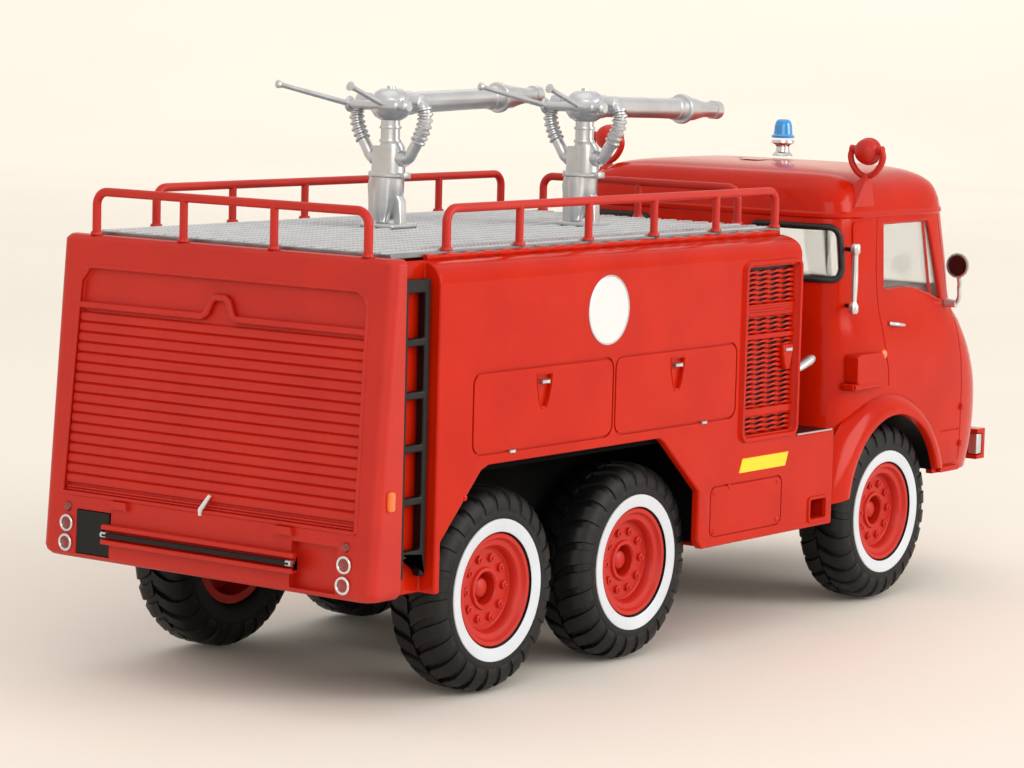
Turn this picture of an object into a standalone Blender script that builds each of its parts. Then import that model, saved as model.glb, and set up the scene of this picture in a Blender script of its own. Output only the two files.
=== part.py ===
"""A die-cast 1:43 scale model of a six-wheeled airport fire truck.

Every size below is in millimetres, and the helpers turn it into metres. +X is forward, +Y is the
truck's left and +Z is up. The origin is on the ground, under the middle of the truck.
"""

from math import cos, pi, radians, sin

import bmesh
import bpy
from mathutils import Matrix, Vector

MM = 0.001
GAP = 0.3  # between two pieces that are seated on each other

# Wheels
REAR_AXLE_X = -54.3
MIDDLE_AXLE_X = -22.3
FRONT_AXLE_X = 45.8
TYRE_RADIUS = 13.7
TYRE_WIDTH = 8.5
WHEEL_OUTER_Y = 26.9
RIM_RADIUS = 7.5
PIN_RADIUS = 0.9
PIN_CLEARANCE = 0.25

# Superstructure
BODY_HALF_WIDTH = 29.0
BODY_REAR_X = -70.7
BODY_FRONT_X = 15.6
BODY_BOTTOM_Z = 15.4
BODY_TOP_Z = 58.1
SHOULDER_Z = 55.1
SHOULDER_INSET = 2.6
RECESS_DEPTH = 2.6
SKIN = 1.3  # of the side panels, outside the wheels
TYRE_CLEARANCE = 1.0
ARCH_TOP_Z = 31.1
ARCH_REAR_X = -69.5
ARCH_REAR_Z = 22.0
ARCH_REAR_TOP_X = -59.6
ARCH_FRONT_TOP_X = -19.2
ARCH_FRONT_X = -10.1
ARCH_FRONT_Z = 22.6
BOX_BOTTOM_Z = 14.2
BOX_FRONT_X = 26.2
STEP_Z = 28.4
DECK_THICKNESS = 0.6

# Rear casting
CASTING_HALF_WIDTH = 28.8
CASTING_FRONT_X = -77.2
CASTING_REAR_TOP_X = -79.6
CASTING_LEAN = 3.6  # how much further back its foot is than its top
CASTING_TOP_Z = 58.6
CASTING_CORNER = 1.7
CASTING_FOOT_ROUND = 1.4
SHUTTER_DEPTH = 0.8
REAR_BAR_LENGTH = 33.4
REAR_BAR_HEIGHT = 2.6
REAR_BAR_DEPTH = 1.1
REAR_BAR_Z = 19.5
REAR_TUBE_RADIUS = 0.35
GROOVE_FLOOR = 0.2

# Ladder
LADDER_TOP_Z = 55.9
LADDER_BOTTOM_Z = 17.8
LADDER_THICKNESS = 1.3
LADDER_RAIL = 1.0
RUNG_PITCH = 6.76
RUNG_HEIGHT = 1.0
FIRST_RUNG_Z = 20.9
RUNG_COUNT = 6

# Guard rails on the deck
RAIL_TOP_Z = 65.0
RAIL_RADIUS = 0.6
RAIL_CORNER = 1.8
SIDE_RAIL_Y = 25.2
SIDE_RAIL_REAR_X = -64.9
SIDE_RAIL_BAY = 15.68
SIDE_RAIL_BAYS = 5
REAR_RAIL_X = -78.5
REAR_RAIL_HALF = 23.4
FRONT_RAIL_X = 14.7
FRONT_RAIL_HALF = 17.9

# Cab
CAB_REAR_X = 31.0
CAB_BELLY_X = 80.2
CAB_HALF_WIDTH = 26.3
CAB_BOTTOM_Z = 18.0
CAB_SILL_Z = 44.8
CAB_DRIP_Z = 60.2
CAB_ROOF_Z = 67.2
CAB_WALL = 1.1
FLARE_INNER_RADIUS = 15.5
FLARE_WIDTH = 3.0
FLARE_OUTER_Y = 27.9
FLARE_INNER_Y = 17.6
LIP_INNER_Y = 27.2  # the flare's lip hangs outside the tyre
LIP_RADIUS = 13.4
LIP_X = 47.0
LIP_Z = 15.3
GLASS_THICKNESS = 0.5
DOOR_WINDOW_REAR_X = 45.3
DOOR_WINDOW_TOP_FRONT_X = 59.5
DOOR_WINDOW_LOW_FRONT_X = 63.7
WINDOW_TOP_Z = 58.6
WINDOW_BOTTOM_Z = 48.0
DOOR_SILL_DROP = 2.7  # of the sill's front end
CORNER_WINDOW_INNER_Y = 12.2
CORNER_WINDOW_FRONT_X = 34.2
CORNER_WINDOW_BOTTOM_Z = 50.2
CORNER_WINDOW_TOP_Z = 58.2
SCREEN_HALF = 21.5
SCREEN_BOTTOM_Z = 47.0
SEAT_Y = 11.5
SEAT_HALF = 6.0
SEAT_REAR_X = 41.0
SEAT_FRONT_X = 54.0
SEAT_HEIGHT = 6.5
BACKREST_HEIGHT = 17.0
BACKREST_THICKNESS = 3.0
DASH_HEIGHT = 11.0
DASH_DEPTH = 4.5
STEERING_X = 57.4
STEERING_Z = 46.4
STEERING_RADIUS = 4.0

# Nose
BUMPER_FRONT_X = 84.5
BUMPER_HALF = 22.7
BUMPER_HEIGHT = 5.0
BUMPER_Z = 20.6
BUMPER_DEPTH = 2.6
BUMPER_PAD_HALF = 14.0
BUMPER_PAD_HEIGHT = 1.6
HEADLAMP_Y = 17.5
HEADLAMP_Z = 29.0
HEADLAMP_RADIUS = 2.9

# On the roof and the cab's sides
BEACON_X = 55.0
BEACON_RADIUS = 1.5
BEACON_TOP_Z = 73.4
SPOTLIGHT_X = 40.6
SPOTLIGHT_Y = 24.3
SPOTLIGHT_Z = 69.6
SPOTLIGHT_RADIUS = 2.2
MIRROR_X = 61.0
MIRROR_Y = 29.4
MIRROR_Z = 51.5
MIRROR_RADIUS = 1.95
MIRROR_ROOT_X = 65.0
MIRROR_ROOT_Z = 45.2
MIRROR_ARM_RADIUS = 0.35
HANDLE_X = 33.7
HANDLE_RADIUS = 0.5
HANDLE_TOP_Z = 55.4
HANDLE_BOTTOM_Z = 45.8

# Foam monitors
MONITOR_Y = 6.5
REAR_MONITOR_X = -37.4
FRONT_MONITOR_X = -8.9
REAR_MONITOR_PITCH = 1.8  # degrees, up
FRONT_MONITOR_PITCH = -1.5
MONITOR_AXIS_Z = 76.3
PEDESTAL_TOP_Z = 70.5
COLLAR_Z = 66.45
COLLAR_RADIUS = 2.7
POST_RADIUS = 1.35
HEAD_RADIUS = 2.95
HEAD_HEIGHT = 4.8
BARREL_RADIUS = 1.6
BARREL_REACH = 34.5
RING_RADIUS = 2.2
RING_START = 22.8
RING_END = 26.8
HOSE_RADIUS = 0.95
HOSE_TOP_Y = 6.1
SHAFT_BACK = 2.9  # the lever shaft's distance behind the head's middle
SHAFT_HALF = 5.1
SHAFT_RADIUS = 0.75
LEVER_RADIUS = 0.4

# Hand lever behind the cab
HAND_LEVER_Y = -24.6
HAND_LEVER_RADIUS = 0.5
HAND_LEVER_ROOT_Z = 35.2
HAND_LEVER_TIP_Z = 38.9
HAND_LEVER_REACH = 10.2

# Chassis
CHASSIS_HALF_WIDTH = 17.0
CHASSIS_REAR_X = -76.0
CHASSIS_FRONT_X = 76.0
CHASSIS_TOP_Z = 21.0
CHASSIS_BOTTOM_Z = 17.0
AXLE_BLOCK_RADIUS = 3.4
AXLE_BLOCK_HALF = 15.0

# What follows from the sizes above
AXLE_Z = TYRE_RADIUS
AXLES = {"rear": REAR_AXLE_X, "middle": MIDDLE_AXLE_X, "front": FRONT_AXLE_X}
DECK_TOP_Z = BODY_TOP_Z + GAP + DECK_THICKNESS
DECK_HALF_WIDTH = BODY_HALF_WIDTH - SHOULDER_INSET - 0.6
RECESS_HALF_WIDTH = BODY_HALF_WIDTH - RECESS_DEPTH
LINER_THICKNESS = 1.0
CAB_FLOOR_Z = AXLE_Z + FLARE_INNER_RADIUS + LINER_THICKNESS + GAP


def clear_scene():
    for thing in list(bpy.data.objects):
        bpy.data.objects.remove(thing, do_unlink=True)


def new_collection(name, hidden):
    made = bpy.data.collections.new(name)
    made.hide_render = hidden
    bpy.context.scene.collection.children.link(made)
    return made


def new_material(name, colour, roughness, metallic=0.0, alpha=1.0):
    made = bpy.data.materials.new(name)
    made.use_nodes = True
    shader = made.node_tree.nodes["Principled BSDF"]
    shader.inputs["Base Color"].default_value = (*colour, 1.0)
    shader.inputs["Roughness"].default_value = roughness
    shader.inputs["Metallic"].default_value = metallic
    shader.inputs["Alpha"].default_value = alpha
    return made


clear_scene()
PARTS = new_collection("airport_fire_truck", hidden=False)
CUTTERS = new_collection("cutters", hidden=True)

RED_PAINT = new_material("red_paint", (0.62, 0.018, 0.012), 0.35)
RED_PLASTIC = new_material("red_plastic", (0.52, 0.016, 0.012), 0.45)
BLACK_PLASTIC = new_material("black_plastic", (0.012, 0.012, 0.012), 0.5)
RUBBER = new_material("black_rubber", (0.015, 0.015, 0.016), 0.75)
SILVER = new_material("silver_paint", (0.55, 0.56, 0.57), 0.35, metallic=0.8)
CHROME = new_material("chrome", (0.8, 0.8, 0.8), 0.12, metallic=1.0)
CLEAR = new_material("clear_plastic", (0.9, 0.92, 0.92), 0.05, alpha=0.3)
BLUE = new_material("blue_lens", (0.0, 0.24, 0.7), 0.1, alpha=0.8)
STEEL = new_material("steel_pin", (0.45, 0.45, 0.46), 0.3, metallic=1.0)


def put(name, data, material, collection=None):
    """A new object in the truck's collection, with its material."""
    made = bpy.data.objects.new(name, data)
    data.materials.append(material)
    (collection or PARTS).objects.link(made)
    return made


def place(bm, size, centre):
    """Scales a unit primitive to size and moves it to centre, in millimetres."""
    scale = Matrix.Diagonal((size[0] * MM, size[1] * MM, size[2] * MM, 1.0))
    bmesh.ops.transform(bm, matrix=Matrix.Translation(Vector(centre) * MM) @ scale, verts=bm.verts)


def box(name, low, high, material):
    """A box from its lowest to its highest corner."""
    bm = bmesh.new()
    bmesh.ops.create_cube(bm, size=1.0)
    size = [b - a for a, b in zip(low, high)]
    place(bm, size, [(a + b) / 2 for a, b in zip(low, high)])
    mesh = bpy.data.meshes.new(name)
    bm.to_mesh(mesh)
    bm.free()
    return put(name, mesh, material)


AXIS_TURN = {
    "x": Matrix.Rotation(pi / 2, 4, "Y"),
    "y": Matrix.Rotation(-pi / 2, 4, "X"),
    "z": Matrix.Identity(4),
}


def cylinder(name, centre, axis, radius, length, material, end_radius=None, segments=32):
    """A cylinder, or a cone when its end on the positive side has a radius of its own."""
    bm = bmesh.new()
    bmesh.ops.create_cone(
        bm,
        cap_ends=True,
        segments=segments,
        radius1=radius * MM,
        radius2=(radius if end_radius is None else end_radius) * MM,
        depth=length * MM,
        matrix=Matrix.Translation(Vector(centre) * MM) @ AXIS_TURN[axis],
    )
    mesh = bpy.data.meshes.new(name)
    bm.to_mesh(mesh)
    bm.free()
    return put(name, mesh, material)


def as_mesh(thing):
    """Replaces a curve or a modified object by its plain, welded mesh in the same place."""
    bpy.context.view_layer.update()
    graph = bpy.context.evaluated_depsgraph_get()
    mesh = bpy.data.meshes.new_from_object(thing.evaluated_get(graph))
    bm = bmesh.new()
    bm.from_mesh(mesh)
    bmesh.ops.remove_doubles(bm, verts=bm.verts, dist=0.00002)
    bmesh.ops.recalc_face_normals(bm, faces=bm.faces)
    bm.to_mesh(mesh)
    bm.free()
    name = thing.name
    made = bpy.data.objects.new(name + "_mesh", mesh)
    made.matrix_world = thing.matrix_world.copy()
    for collection in thing.users_collection:
        collection.objects.link(made)
    bpy.data.objects.remove(thing, do_unlink=True)
    made.name = name
    return made


def outline(name, rings, axis, low, high, material):
    """Flat rings of points, the first one outside and the rest holes, extruded from low to high.

    The points are (y, z) for the x axis, (x, z) for the y axis and (x, y) for the z axis.
    """
    curve = bpy.data.curves.new(name, "CURVE")
    curve.dimensions = "2D"
    curve.fill_mode = "BOTH"
    curve.extrude = (high - low) / 2 * MM
    for ring in rings:
        spline = curve.splines.new("POLY")
        spline.points.add(len(ring) - 1)
        for point, (a, b) in zip(spline.points, ring):
            point.co = (a * MM, b * MM, 0.0, 1.0)
        spline.use_cyclic_u = True
    made = put(name, curve, material)
    middle = (low + high) / 2 * MM
    if axis == "x":
        turn = Matrix(((0, 0, 1, middle), (1, 0, 0, 0), (0, 1, 0, 0), (0, 0, 0, 1)))
    elif axis == "y":
        turn = Matrix(((1, 0, 0, 0), (0, 0, -1, middle), (0, 1, 0, 0), (0, 0, 0, 1)))
    else:
        turn = Matrix.Translation((0, 0, middle))
    made.matrix_world = turn
    return as_mesh(made)


def loft(name, rings, material):
    """A closed solid through rings of (x, y, z) points, which all have the same count."""
    bm = bmesh.new()
    levels = [[bm.verts.new(Vector(point) * MM) for point in ring] for ring in rings]
    for lower, upper in zip(levels, levels[1:]):
        for i in range(len(lower)):
            j = (i + 1) % len(lower)
            bm.faces.new((lower[i], lower[j], upper[j], upper[i]))
    bm.faces.new(levels[0])
    bm.faces.new(levels[-1])
    bmesh.ops.recalc_face_normals(bm, faces=bm.faces)
    mesh = bpy.data.meshes.new(name)
    bm.to_mesh(mesh)
    bm.free()
    return put(name, mesh, material)


def softened(points, radius, steps=3):
    """The outline through points, with each corner drawn as a small curve."""
    made = []
    count = len(points)
    for i, point in enumerate(points):
        corner = Vector(point)
        before = Vector(points[i - 1])
        after = Vector(points[(i + 1) % count])
        start = corner + (before - corner).normalized() * radius
        end = corner + (after - corner).normalized() * radius
        for step in range(steps + 1):
            t = step / steps
            made.append(tuple(start * (1 - t) ** 2 + corner * 2 * t * (1 - t) + end * t**2))
    return made


def arc(centre, radius, start, end, steps):
    """Points on an arc from start to end degrees."""
    turns = [radians(start + (end - start) * i / steps) for i in range(steps + 1)]
    return [(centre[0] + radius * cos(t), centre[1] + radius * sin(t)) for t in turns]


def rounded(low, high, radius, steps=4):
    """The corner points of a rounded rectangle."""
    centres = [
        ((high[0] - radius, high[1] - radius), 0),
        ((low[0] + radius, high[1] - radius), 90),
        ((low[0] + radius, low[1] + radius), 180),
        ((high[0] - radius, low[1] + radius), 270),
    ]
    points = []
    for centre, start in centres:
        points += arc(centre, radius, start, start + 90, steps)
    return points


def tube(name, points, radius, material, closed=False, resolution=2):
    """A round bar along points, with closed ends."""
    curve = bpy.data.curves.new(name, "CURVE")
    curve.dimensions = "3D"
    curve.bevel_depth = radius * MM
    curve.bevel_resolution = resolution
    curve.use_fill_caps = True
    spline = curve.splines.new("POLY")
    spline.points.add(len(points) - 1)
    for point, place_of in zip(spline.points, points):
        point.co = (*(Vector(place_of) * MM), 1.0)
    spline.use_cyclic_u = closed
    return as_mesh(put(name, curve, material))


def turned(name, profile, centre, axis, material, steps=32, flip=False):
    """A closed (radius, height) profile turned about an axis through centre."""
    mesh = bpy.data.meshes.new(name)
    points = [(radius * MM, 0.0, height * MM) for radius, height in profile]
    count = len(points)
    closed = profile[0][0] > 0 or profile[-1][0] > 0
    edges = [(i, i + 1) for i in range(count - 1)]
    if closed:
        edges.append((count - 1, 0))
    mesh.from_pydata(points, edges, [])
    made = put(name, mesh, material)
    screw = made.modifiers.new("turn", "SCREW")
    screw.axis = "Z"
    screw.steps = steps
    screw.render_steps = steps
    screw.use_merge_vertices = True
    screw.merge_threshold = 0.00001
    half_turn = Matrix.Rotation(pi, 4, "X") if flip else Matrix.Identity(4)
    made.matrix_world = Matrix.Translation(Vector(centre) * MM) @ AXIS_TURN[axis] @ half_turn
    return as_mesh(made)


def boolean(target, tool, operation):
    """Adds a Boolean modifier and files its tool with the cutters."""
    change = target.modifiers.new(tool.name, "BOOLEAN")
    change.operation = operation
    change.solver = "EXACT"
    change.object = tool
    for collection in tool.users_collection:
        collection.objects.unlink(tool)
    CUTTERS.objects.link(tool)
    tool.hide_render = True
    tool.display_type = "WIRE"
    return target


def cut(target, *tools):
    for tool in tools:
        boolean(target, tool, "DIFFERENCE")
    return target


def join(target, *tools):
    for tool in tools:
        boolean(target, tool, "UNION")
    return target


def mirrored(name, thing):
    """A copy of a finished object, reflected to the truck's other side."""
    bpy.context.view_layer.update()
    graph = bpy.context.evaluated_depsgraph_get()
    bm = bmesh.new()
    bm.from_mesh(bpy.data.meshes.new_from_object(thing.evaluated_get(graph)))
    bmesh.ops.transform(bm, matrix=Matrix.Diagonal((1, -1, 1, 1)) @ thing.matrix_world, verts=bm.verts)
    bmesh.ops.reverse_faces(bm, faces=bm.faces)
    mesh = bpy.data.meshes.new(name)
    bm.to_mesh(mesh)
    bm.free()
    return put(name, mesh, thing.active_material)


# ---------------------------------------------------------------- superstructure


def body_shell():
    """The die-cast superstructure: one block with the rear arch, the step and the lockers."""
    side = [
        (BODY_REAR_X, BODY_BOTTOM_Z),
        (ARCH_REAR_X, BODY_BOTTOM_Z),
        (ARCH_REAR_X, ARCH_REAR_Z),
        (ARCH_REAR_TOP_X - 1.6, ARCH_TOP_Z - 0.6),
        (ARCH_REAR_TOP_X, ARCH_TOP_Z),
        (ARCH_FRONT_TOP_X - 1.0, ARCH_TOP_Z),
        (ARCH_FRONT_TOP_X, ARCH_TOP_Z - 0.6),
        (ARCH_FRONT_X, ARCH_FRONT_Z),
        (ARCH_FRONT_X, BOX_BOTTOM_Z + 1.2),
        (ARCH_FRONT_X + 1.2, BOX_BOTTOM_Z),
        (BOX_FRONT_X, BOX_BOTTOM_Z),
        (BOX_FRONT_X, STEP_Z),
        (BODY_FRONT_X, STEP_Z),
        (BODY_FRONT_X, BODY_TOP_Z),
        (BODY_REAR_X, BODY_TOP_Z),
    ]
    shell = outline("body_shell", [side], "y", -BODY_HALF_WIDTH, BODY_HALF_WIDTH, RED_PAINT)
    core = box(
        "recess_core",
        (CASTING_FRONT_X + GAP, -RECESS_HALF_WIDTH, BODY_BOTTOM_Z),
        (BODY_REAR_X + 5, RECESS_HALF_WIDTH, BODY_TOP_Z),
        RED_PAINT,
    )
    cut(core, box("core_arch", (ARCH_REAR_X, -40, 0), (0, 40, ARCH_TOP_Z), RED_PAINT))
    join(shell, core)
    rise = BODY_TOP_Z - SHOULDER_Z
    for side_sign, tag in ((1, "left"), (-1, "right")):
        shoulder = [(BODY_HALF_WIDTH + 2, SHOULDER_Z), (BODY_HALF_WIDTH, SHOULDER_Z)]
        for step in range(1, 6):
            turn = radians(step * 15)
            across = BODY_HALF_WIDTH - SHOULDER_INSET * (1 - cos(turn)) / (1 - cos(radians(75)))
            shoulder.append((across, SHOULDER_Z + rise * sin(turn) / sin(radians(75))))
        shoulder += [(shoulder[-1][0], BODY_TOP_Z + 2), (BODY_HALF_WIDTH + 2, BODY_TOP_Z + 2)]
        ring = [(side_sign * y, z) for y, z in shoulder]
        cut(shell, outline("shoulder_" + tag, [ring], "x", BODY_REAR_X - 1, 60, RED_PAINT))
    well_half = BODY_HALF_WIDTH - SKIN
    well_front_x = MIDDLE_AXLE_X + TYRE_RADIUS + TYRE_CLEARANCE
    well_low = (ARCH_REAR_X, -well_half, 0)
    well_high = (well_front_x, well_half, ARCH_TOP_Z)
    cut(shell, box("rear_wheel_well", well_low, well_high, RED_PAINT))
    channel_half = CHASSIS_HALF_WIDTH + GAP
    channel_top = CHASSIS_TOP_Z + GAP
    cut(shell, box("chassis_channel", (-90, -channel_half, 0), (60, channel_half, channel_top), RED_PAINT))
    return shell


def deck_plate():
    return box(
        "deck_plate",
        (CASTING_FRONT_X + GAP, -DECK_HALF_WIDTH, BODY_TOP_Z + GAP),
        (BODY_FRONT_X - GAP, DECK_HALF_WIDTH, DECK_TOP_Z),
        SILVER,
    )


def rear_face_x(z):
    """The leaning rear face of the casting, at a height."""
    return CASTING_REAR_TOP_X - CASTING_LEAN * (CASTING_TOP_Z - z) / (CASTING_TOP_Z - BODY_BOTTOM_Z)


def casting_ring(z, inset):
    """The casting seen from above at a height: square in front and rounded at the rear."""
    half = CASTING_HALF_WIDTH - inset
    rear = rear_face_x(z) + inset
    round_x = rear + CASTING_CORNER
    round_y = half - CASTING_CORNER
    corner = arc((0, 0), CASTING_CORNER, 90, 180, 5)
    left = [(min(round_x + x, CASTING_FRONT_X - 0.1), round_y + y) for x, y in corner]
    right = [(x, -y) for x, y in reversed(left)]
    plan = [(CASTING_FRONT_X, half), *left, *right, (CASTING_FRONT_X, -half)]
    return [(x, y, z) for x, y in plan]


def rear_casting():
    """The moulded rear panel, with its sunken shutter and its lower skirt."""
    rings = []
    for step in range(4):
        turn = radians(30 * step)
        inset = CASTING_FOOT_ROUND * (1 - sin(turn))
        rings.append(casting_ring(BODY_BOTTOM_Z + CASTING_FOOT_ROUND * (1 - cos(turn)), inset))
    rings += [casting_ring(CASTING_TOP_Z - 0.6, 0.0), casting_ring(CASTING_TOP_Z, 0.5)]
    casting = loft("rear_casting", rings, RED_PLASTIC)
    recess = [(-25.4, 24.3), (25.4, 24.3), (24.6, 52.4), (23.0, 54.4), (-23.0, 54.4), (-24.6, 52.4)]
    back = [(-90.0, y, z) for y, z in recess]
    floor = [(rear_face_x(z) + SHUTTER_DEPTH, y, z) for y, z in recess]
    return cut(casting, loft("shutter_recess", [back, floor], RED_PLASTIC))


def rear_bar():
    """The bar under the shutter, with a groove for the black tube."""
    low = REAR_BAR_Z - REAR_BAR_HEIGHT / 2
    high = low + REAR_BAR_HEIGHT
    half = REAR_BAR_LENGTH / 2
    front_low = rear_face_x(low) - GAP
    front_high = rear_face_x(high) - GAP
    section = [
        (front_low, low),
        (front_high, high),
        (front_high - REAR_BAR_DEPTH, high),
        (front_low - REAR_BAR_DEPTH, low),
    ]
    bar = outline("rear_bar", [section], "y", -half, half, RED_PLASTIC)
    groove = REAR_TUBE_RADIUS + GAP
    groove_x = front_low - GROOVE_FLOOR
    slot_low = (groove_x - 5, -half - 1, REAR_BAR_Z - groove)
    cut(bar, box("bar_groove", slot_low, (groove_x, half + 1, REAR_BAR_Z + groove), RED_PLASTIC))
    centre = (groove_x - GAP - REAR_TUBE_RADIUS, 0, REAR_BAR_Z)
    length = REAR_BAR_LENGTH - 1
    cylinder("rear_tube", centre, "y", REAR_TUBE_RADIUS, length, BLACK_PLASTIC, segments=16)


def ladder():
    """The right-hand ladder as one flat moulding, and its mirror image on the left."""
    low = CASTING_FRONT_X + GAP + 0.2
    high = BODY_REAR_X - GAP - 0.4
    inner_low = low + LADDER_RAIL
    inner_high = high - LADDER_RAIL
    half_rung = RUNG_HEIGHT / 2
    outer = [
        (low, LADDER_BOTTOM_Z),
        (inner_low, LADDER_BOTTOM_Z),
        (inner_low, FIRST_RUNG_Z - half_rung),
        (inner_high, FIRST_RUNG_Z - half_rung),
        (inner_high, LADDER_BOTTOM_Z),
        (high, LADDER_BOTTOM_Z),
        (high, LADDER_TOP_Z),
        (low, LADDER_TOP_Z),
    ]
    rings = [outer]
    for step in range(RUNG_COUNT - 1):
        bottom = FIRST_RUNG_Z + step * RUNG_PITCH + half_rung
        top = bottom + RUNG_PITCH - RUNG_HEIGHT
        rings.append([(inner_low, bottom), (inner_high, bottom), (inner_high, top), (inner_low, top)])
    near = RECESS_HALF_WIDTH + GAP
    right = outline("ladder_right", rings, "y", -near - LADDER_THICKNESS, -near, BLACK_PLASTIC)
    mirrored("ladder_left", right)


def guard_rail(name, start, end, foot_z, bays):
    """A hoop with rounded corners from start to end, in plan, with posts between its ends."""
    a = Vector((*start, 0))
    b = Vector((*end, 0))
    along = (b - a).normalized()
    rise = Vector((0, 0, 1))
    points = [a + rise * foot_z]
    for step in range(5):
        turn = radians(90 * step / 4)
        sideways = RAIL_CORNER * (1 - cos(turn))
        height = RAIL_TOP_Z - RAIL_RADIUS - RAIL_CORNER * (1 - sin(turn))
        points.append(a + along * sideways + rise * height)
    for step in range(5):
        turn = radians(90 * (4 - step) / 4)
        sideways = RAIL_CORNER * (1 - cos(turn))
        height = RAIL_TOP_Z - RAIL_RADIUS - RAIL_CORNER * (1 - sin(turn))
        points.append(b - along * sideways + rise * height)
    points.append(b + rise * foot_z)
    hoop = tube(name, points, RAIL_RADIUS, RED_PLASTIC)
    for bay in range(1, bays):
        foot = a.lerp(b, bay / bays)
        ends = [foot + rise * foot_z, foot + rise * (RAIL_TOP_Z - RAIL_RADIUS * 1.2)]
        join(hoop, tube(f"{name}_post_{bay}", ends, RAIL_RADIUS * 0.95, RED_PLASTIC))
    return hoop


def guard_rails():
    side_front_x = SIDE_RAIL_REAR_X + SIDE_RAIL_BAY * SIDE_RAIL_BAYS
    foot = DECK_TOP_Z + GAP
    for tag, y in (("right", -SIDE_RAIL_Y), ("left", SIDE_RAIL_Y)):
        guard_rail("rail_" + tag, (SIDE_RAIL_REAR_X, y), (side_front_x, y), foot, SIDE_RAIL_BAYS)
    guard_rail("rail_front", (FRONT_RAIL_X, -FRONT_RAIL_HALF), (FRONT_RAIL_X, FRONT_RAIL_HALF), foot, 2)
    rear_foot = CASTING_TOP_Z + GAP
    guard_rail("rail_rear", (REAR_RAIL_X, -REAR_RAIL_HALF), (REAR_RAIL_X, REAR_RAIL_HALF), rear_foot, 3)


# ---------------------------------------------------------------- cab


# Height, then how far the rear face, the front face and the sides are drawn in, from the bottom up.
CAB_LEVELS = [
    (CAB_BOTTOM_Z, 0.0, 1.8, 0.4),
    (22.0, 0.0, 0.8, 0.0),
    (28.0, 0.0, 0.0, 0.0),
    (33.0, 0.0, 0.6, 0.0),
    (38.0, 0.0, 2.8, 0.2),
    (42.0, 0.0, 5.8, 0.5),
    (CAB_SILL_Z, 0.0, 8.4, 0.9),
    (52.0, 0.3, 10.0, 1.2),
    (CAB_DRIP_Z - 1.0, 0.8, 11.8, 1.6),
    (CAB_DRIP_Z, 0.4, 11.6, 1.2),
    (CAB_DRIP_Z + 1.6, 1.2, 12.2, 1.7),
    (CAB_ROOF_Z - 2.9, 2.6, 13.4, 3.0),
    (CAB_ROOF_Z - 1.2, 5.2, 16.2, 6.0),
    (CAB_ROOF_Z - 0.3, 9.5, 20.6, 11.0),
    (CAB_ROOF_Z, 16.0, 27.0, 18.0),
]
CAB_WIDEST = 0.55  # where the plan is widest, as a share of the way from its rear to its nose
NOSE_POWER = 6
REAR_POWER = 9


def cab_ring(rear, front, half, steps=32):
    """A level of the cab seen from above: a squarish rear and a rounder nose."""
    middle = rear + (front - rear) * CAB_WIDEST
    points = []
    for step in range(steps):
        turn = radians(360 * step / steps)
        along, across = cos(turn), sin(turn)
        power = 2 / (NOSE_POWER if along > 0 else REAR_POWER)
        reach = front - middle if along > 0 else rear - middle
        side = 1 if across > 0 else -1
        x = 0.0 if abs(along) < 1e-9 else reach * abs(along) ** power
        y = 0.0 if abs(across) < 1e-9 else side * half * abs(across) ** power
        points.append((middle + x, y))
    return points


def cab_drawn_in(z):
    """How far the rear face, the front face and the sides are drawn in at a height below the roof."""
    for lower, upper in zip(CAB_LEVELS, CAB_LEVELS[1:]):
        if z <= upper[0]:
            share = (z - lower[0]) / (upper[0] - lower[0])
            return [a + (b - a) * share for a, b in zip(lower[1:], upper[1:])]
    return CAB_LEVELS[-1][1:]


def cab_side_y(x, z):
    """Half the cab's outer width at a place along it and a height, behind its widest point."""
    rear_in, front_in, side_in = cab_drawn_in(z)
    rear = CAB_REAR_X + rear_in
    middle = rear + (CAB_BELLY_X - front_in - rear) * CAB_WIDEST
    share = (middle - x) / (middle - rear)
    return (CAB_HALF_WIDTH - side_in) * (1 - share**REAR_POWER) ** (1 / REAR_POWER)


def cab_solid(name, inset, bottom, material):
    """The cab's outer form, made smaller by an inset and closed at the bottom and the roof."""
    rings = []
    for height, rear_in, front_in, side_in in CAB_LEVELS:
        drop = inset if height > CAB_DRIP_Z + 1 else 0.0
        z = bottom if height == CAB_BOTTOM_Z else height - drop
        rear = CAB_REAR_X + rear_in + inset
        front = CAB_BELLY_X - front_in - inset
        half = CAB_HALF_WIDTH - side_in - inset
        rings.append([(x, y, z) for x, y in cab_ring(rear, front, half)])
    return loft(name, rings, material)


def door_outline(c):
    """The door window from the side, drawn in by c: a slanted front edge and a sill that falls forward."""
    rear = DOOR_WINDOW_REAR_X + c
    front = DOOR_WINDOW_LOW_FRONT_X - c
    length = front - rear
    sill = [(rear, WINDOW_BOTTOM_Z + c)]
    for step in range(5):
        share = 0.4 + 0.6 * step / 4
        fall = DOOR_SILL_DROP * ((share - 0.4) / 0.6) ** 1.5
        sill.append((rear + length * share, WINDOW_BOTTOM_Z + c - fall))
    top = [(DOOR_WINDOW_TOP_FRONT_X - c, WINDOW_TOP_Z - c), (rear, WINDOW_TOP_Z - c)]
    return softened(sill + top, 0.7)


def corner_cutter(tag, side, c):
    """A block round one rear corner of the cab, with rounded ends on its rear and on its side."""
    low, high = CORNER_WINDOW_BOTTOM_Z + c, CORNER_WINDOW_TOP_Z - c
    ends = sorted((side * (CORNER_WINDOW_INNER_Y + c), side * 40))
    from_rear = [rounded((ends[0], low), (ends[1], high), 2.4)]
    front = CORNER_WINDOW_FRONT_X - c
    from_side = [rounded((CAB_REAR_X - 10, low), (front, high), 1.6)]
    block = outline("corner_cut" + tag, from_rear, "x", CAB_REAR_X - 5, CAB_REAR_X + 6, CLEAR)
    return boolean(block, outline("corner_end" + tag, from_side, "y", -45, 45, CLEAR), "INTERSECT")


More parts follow.
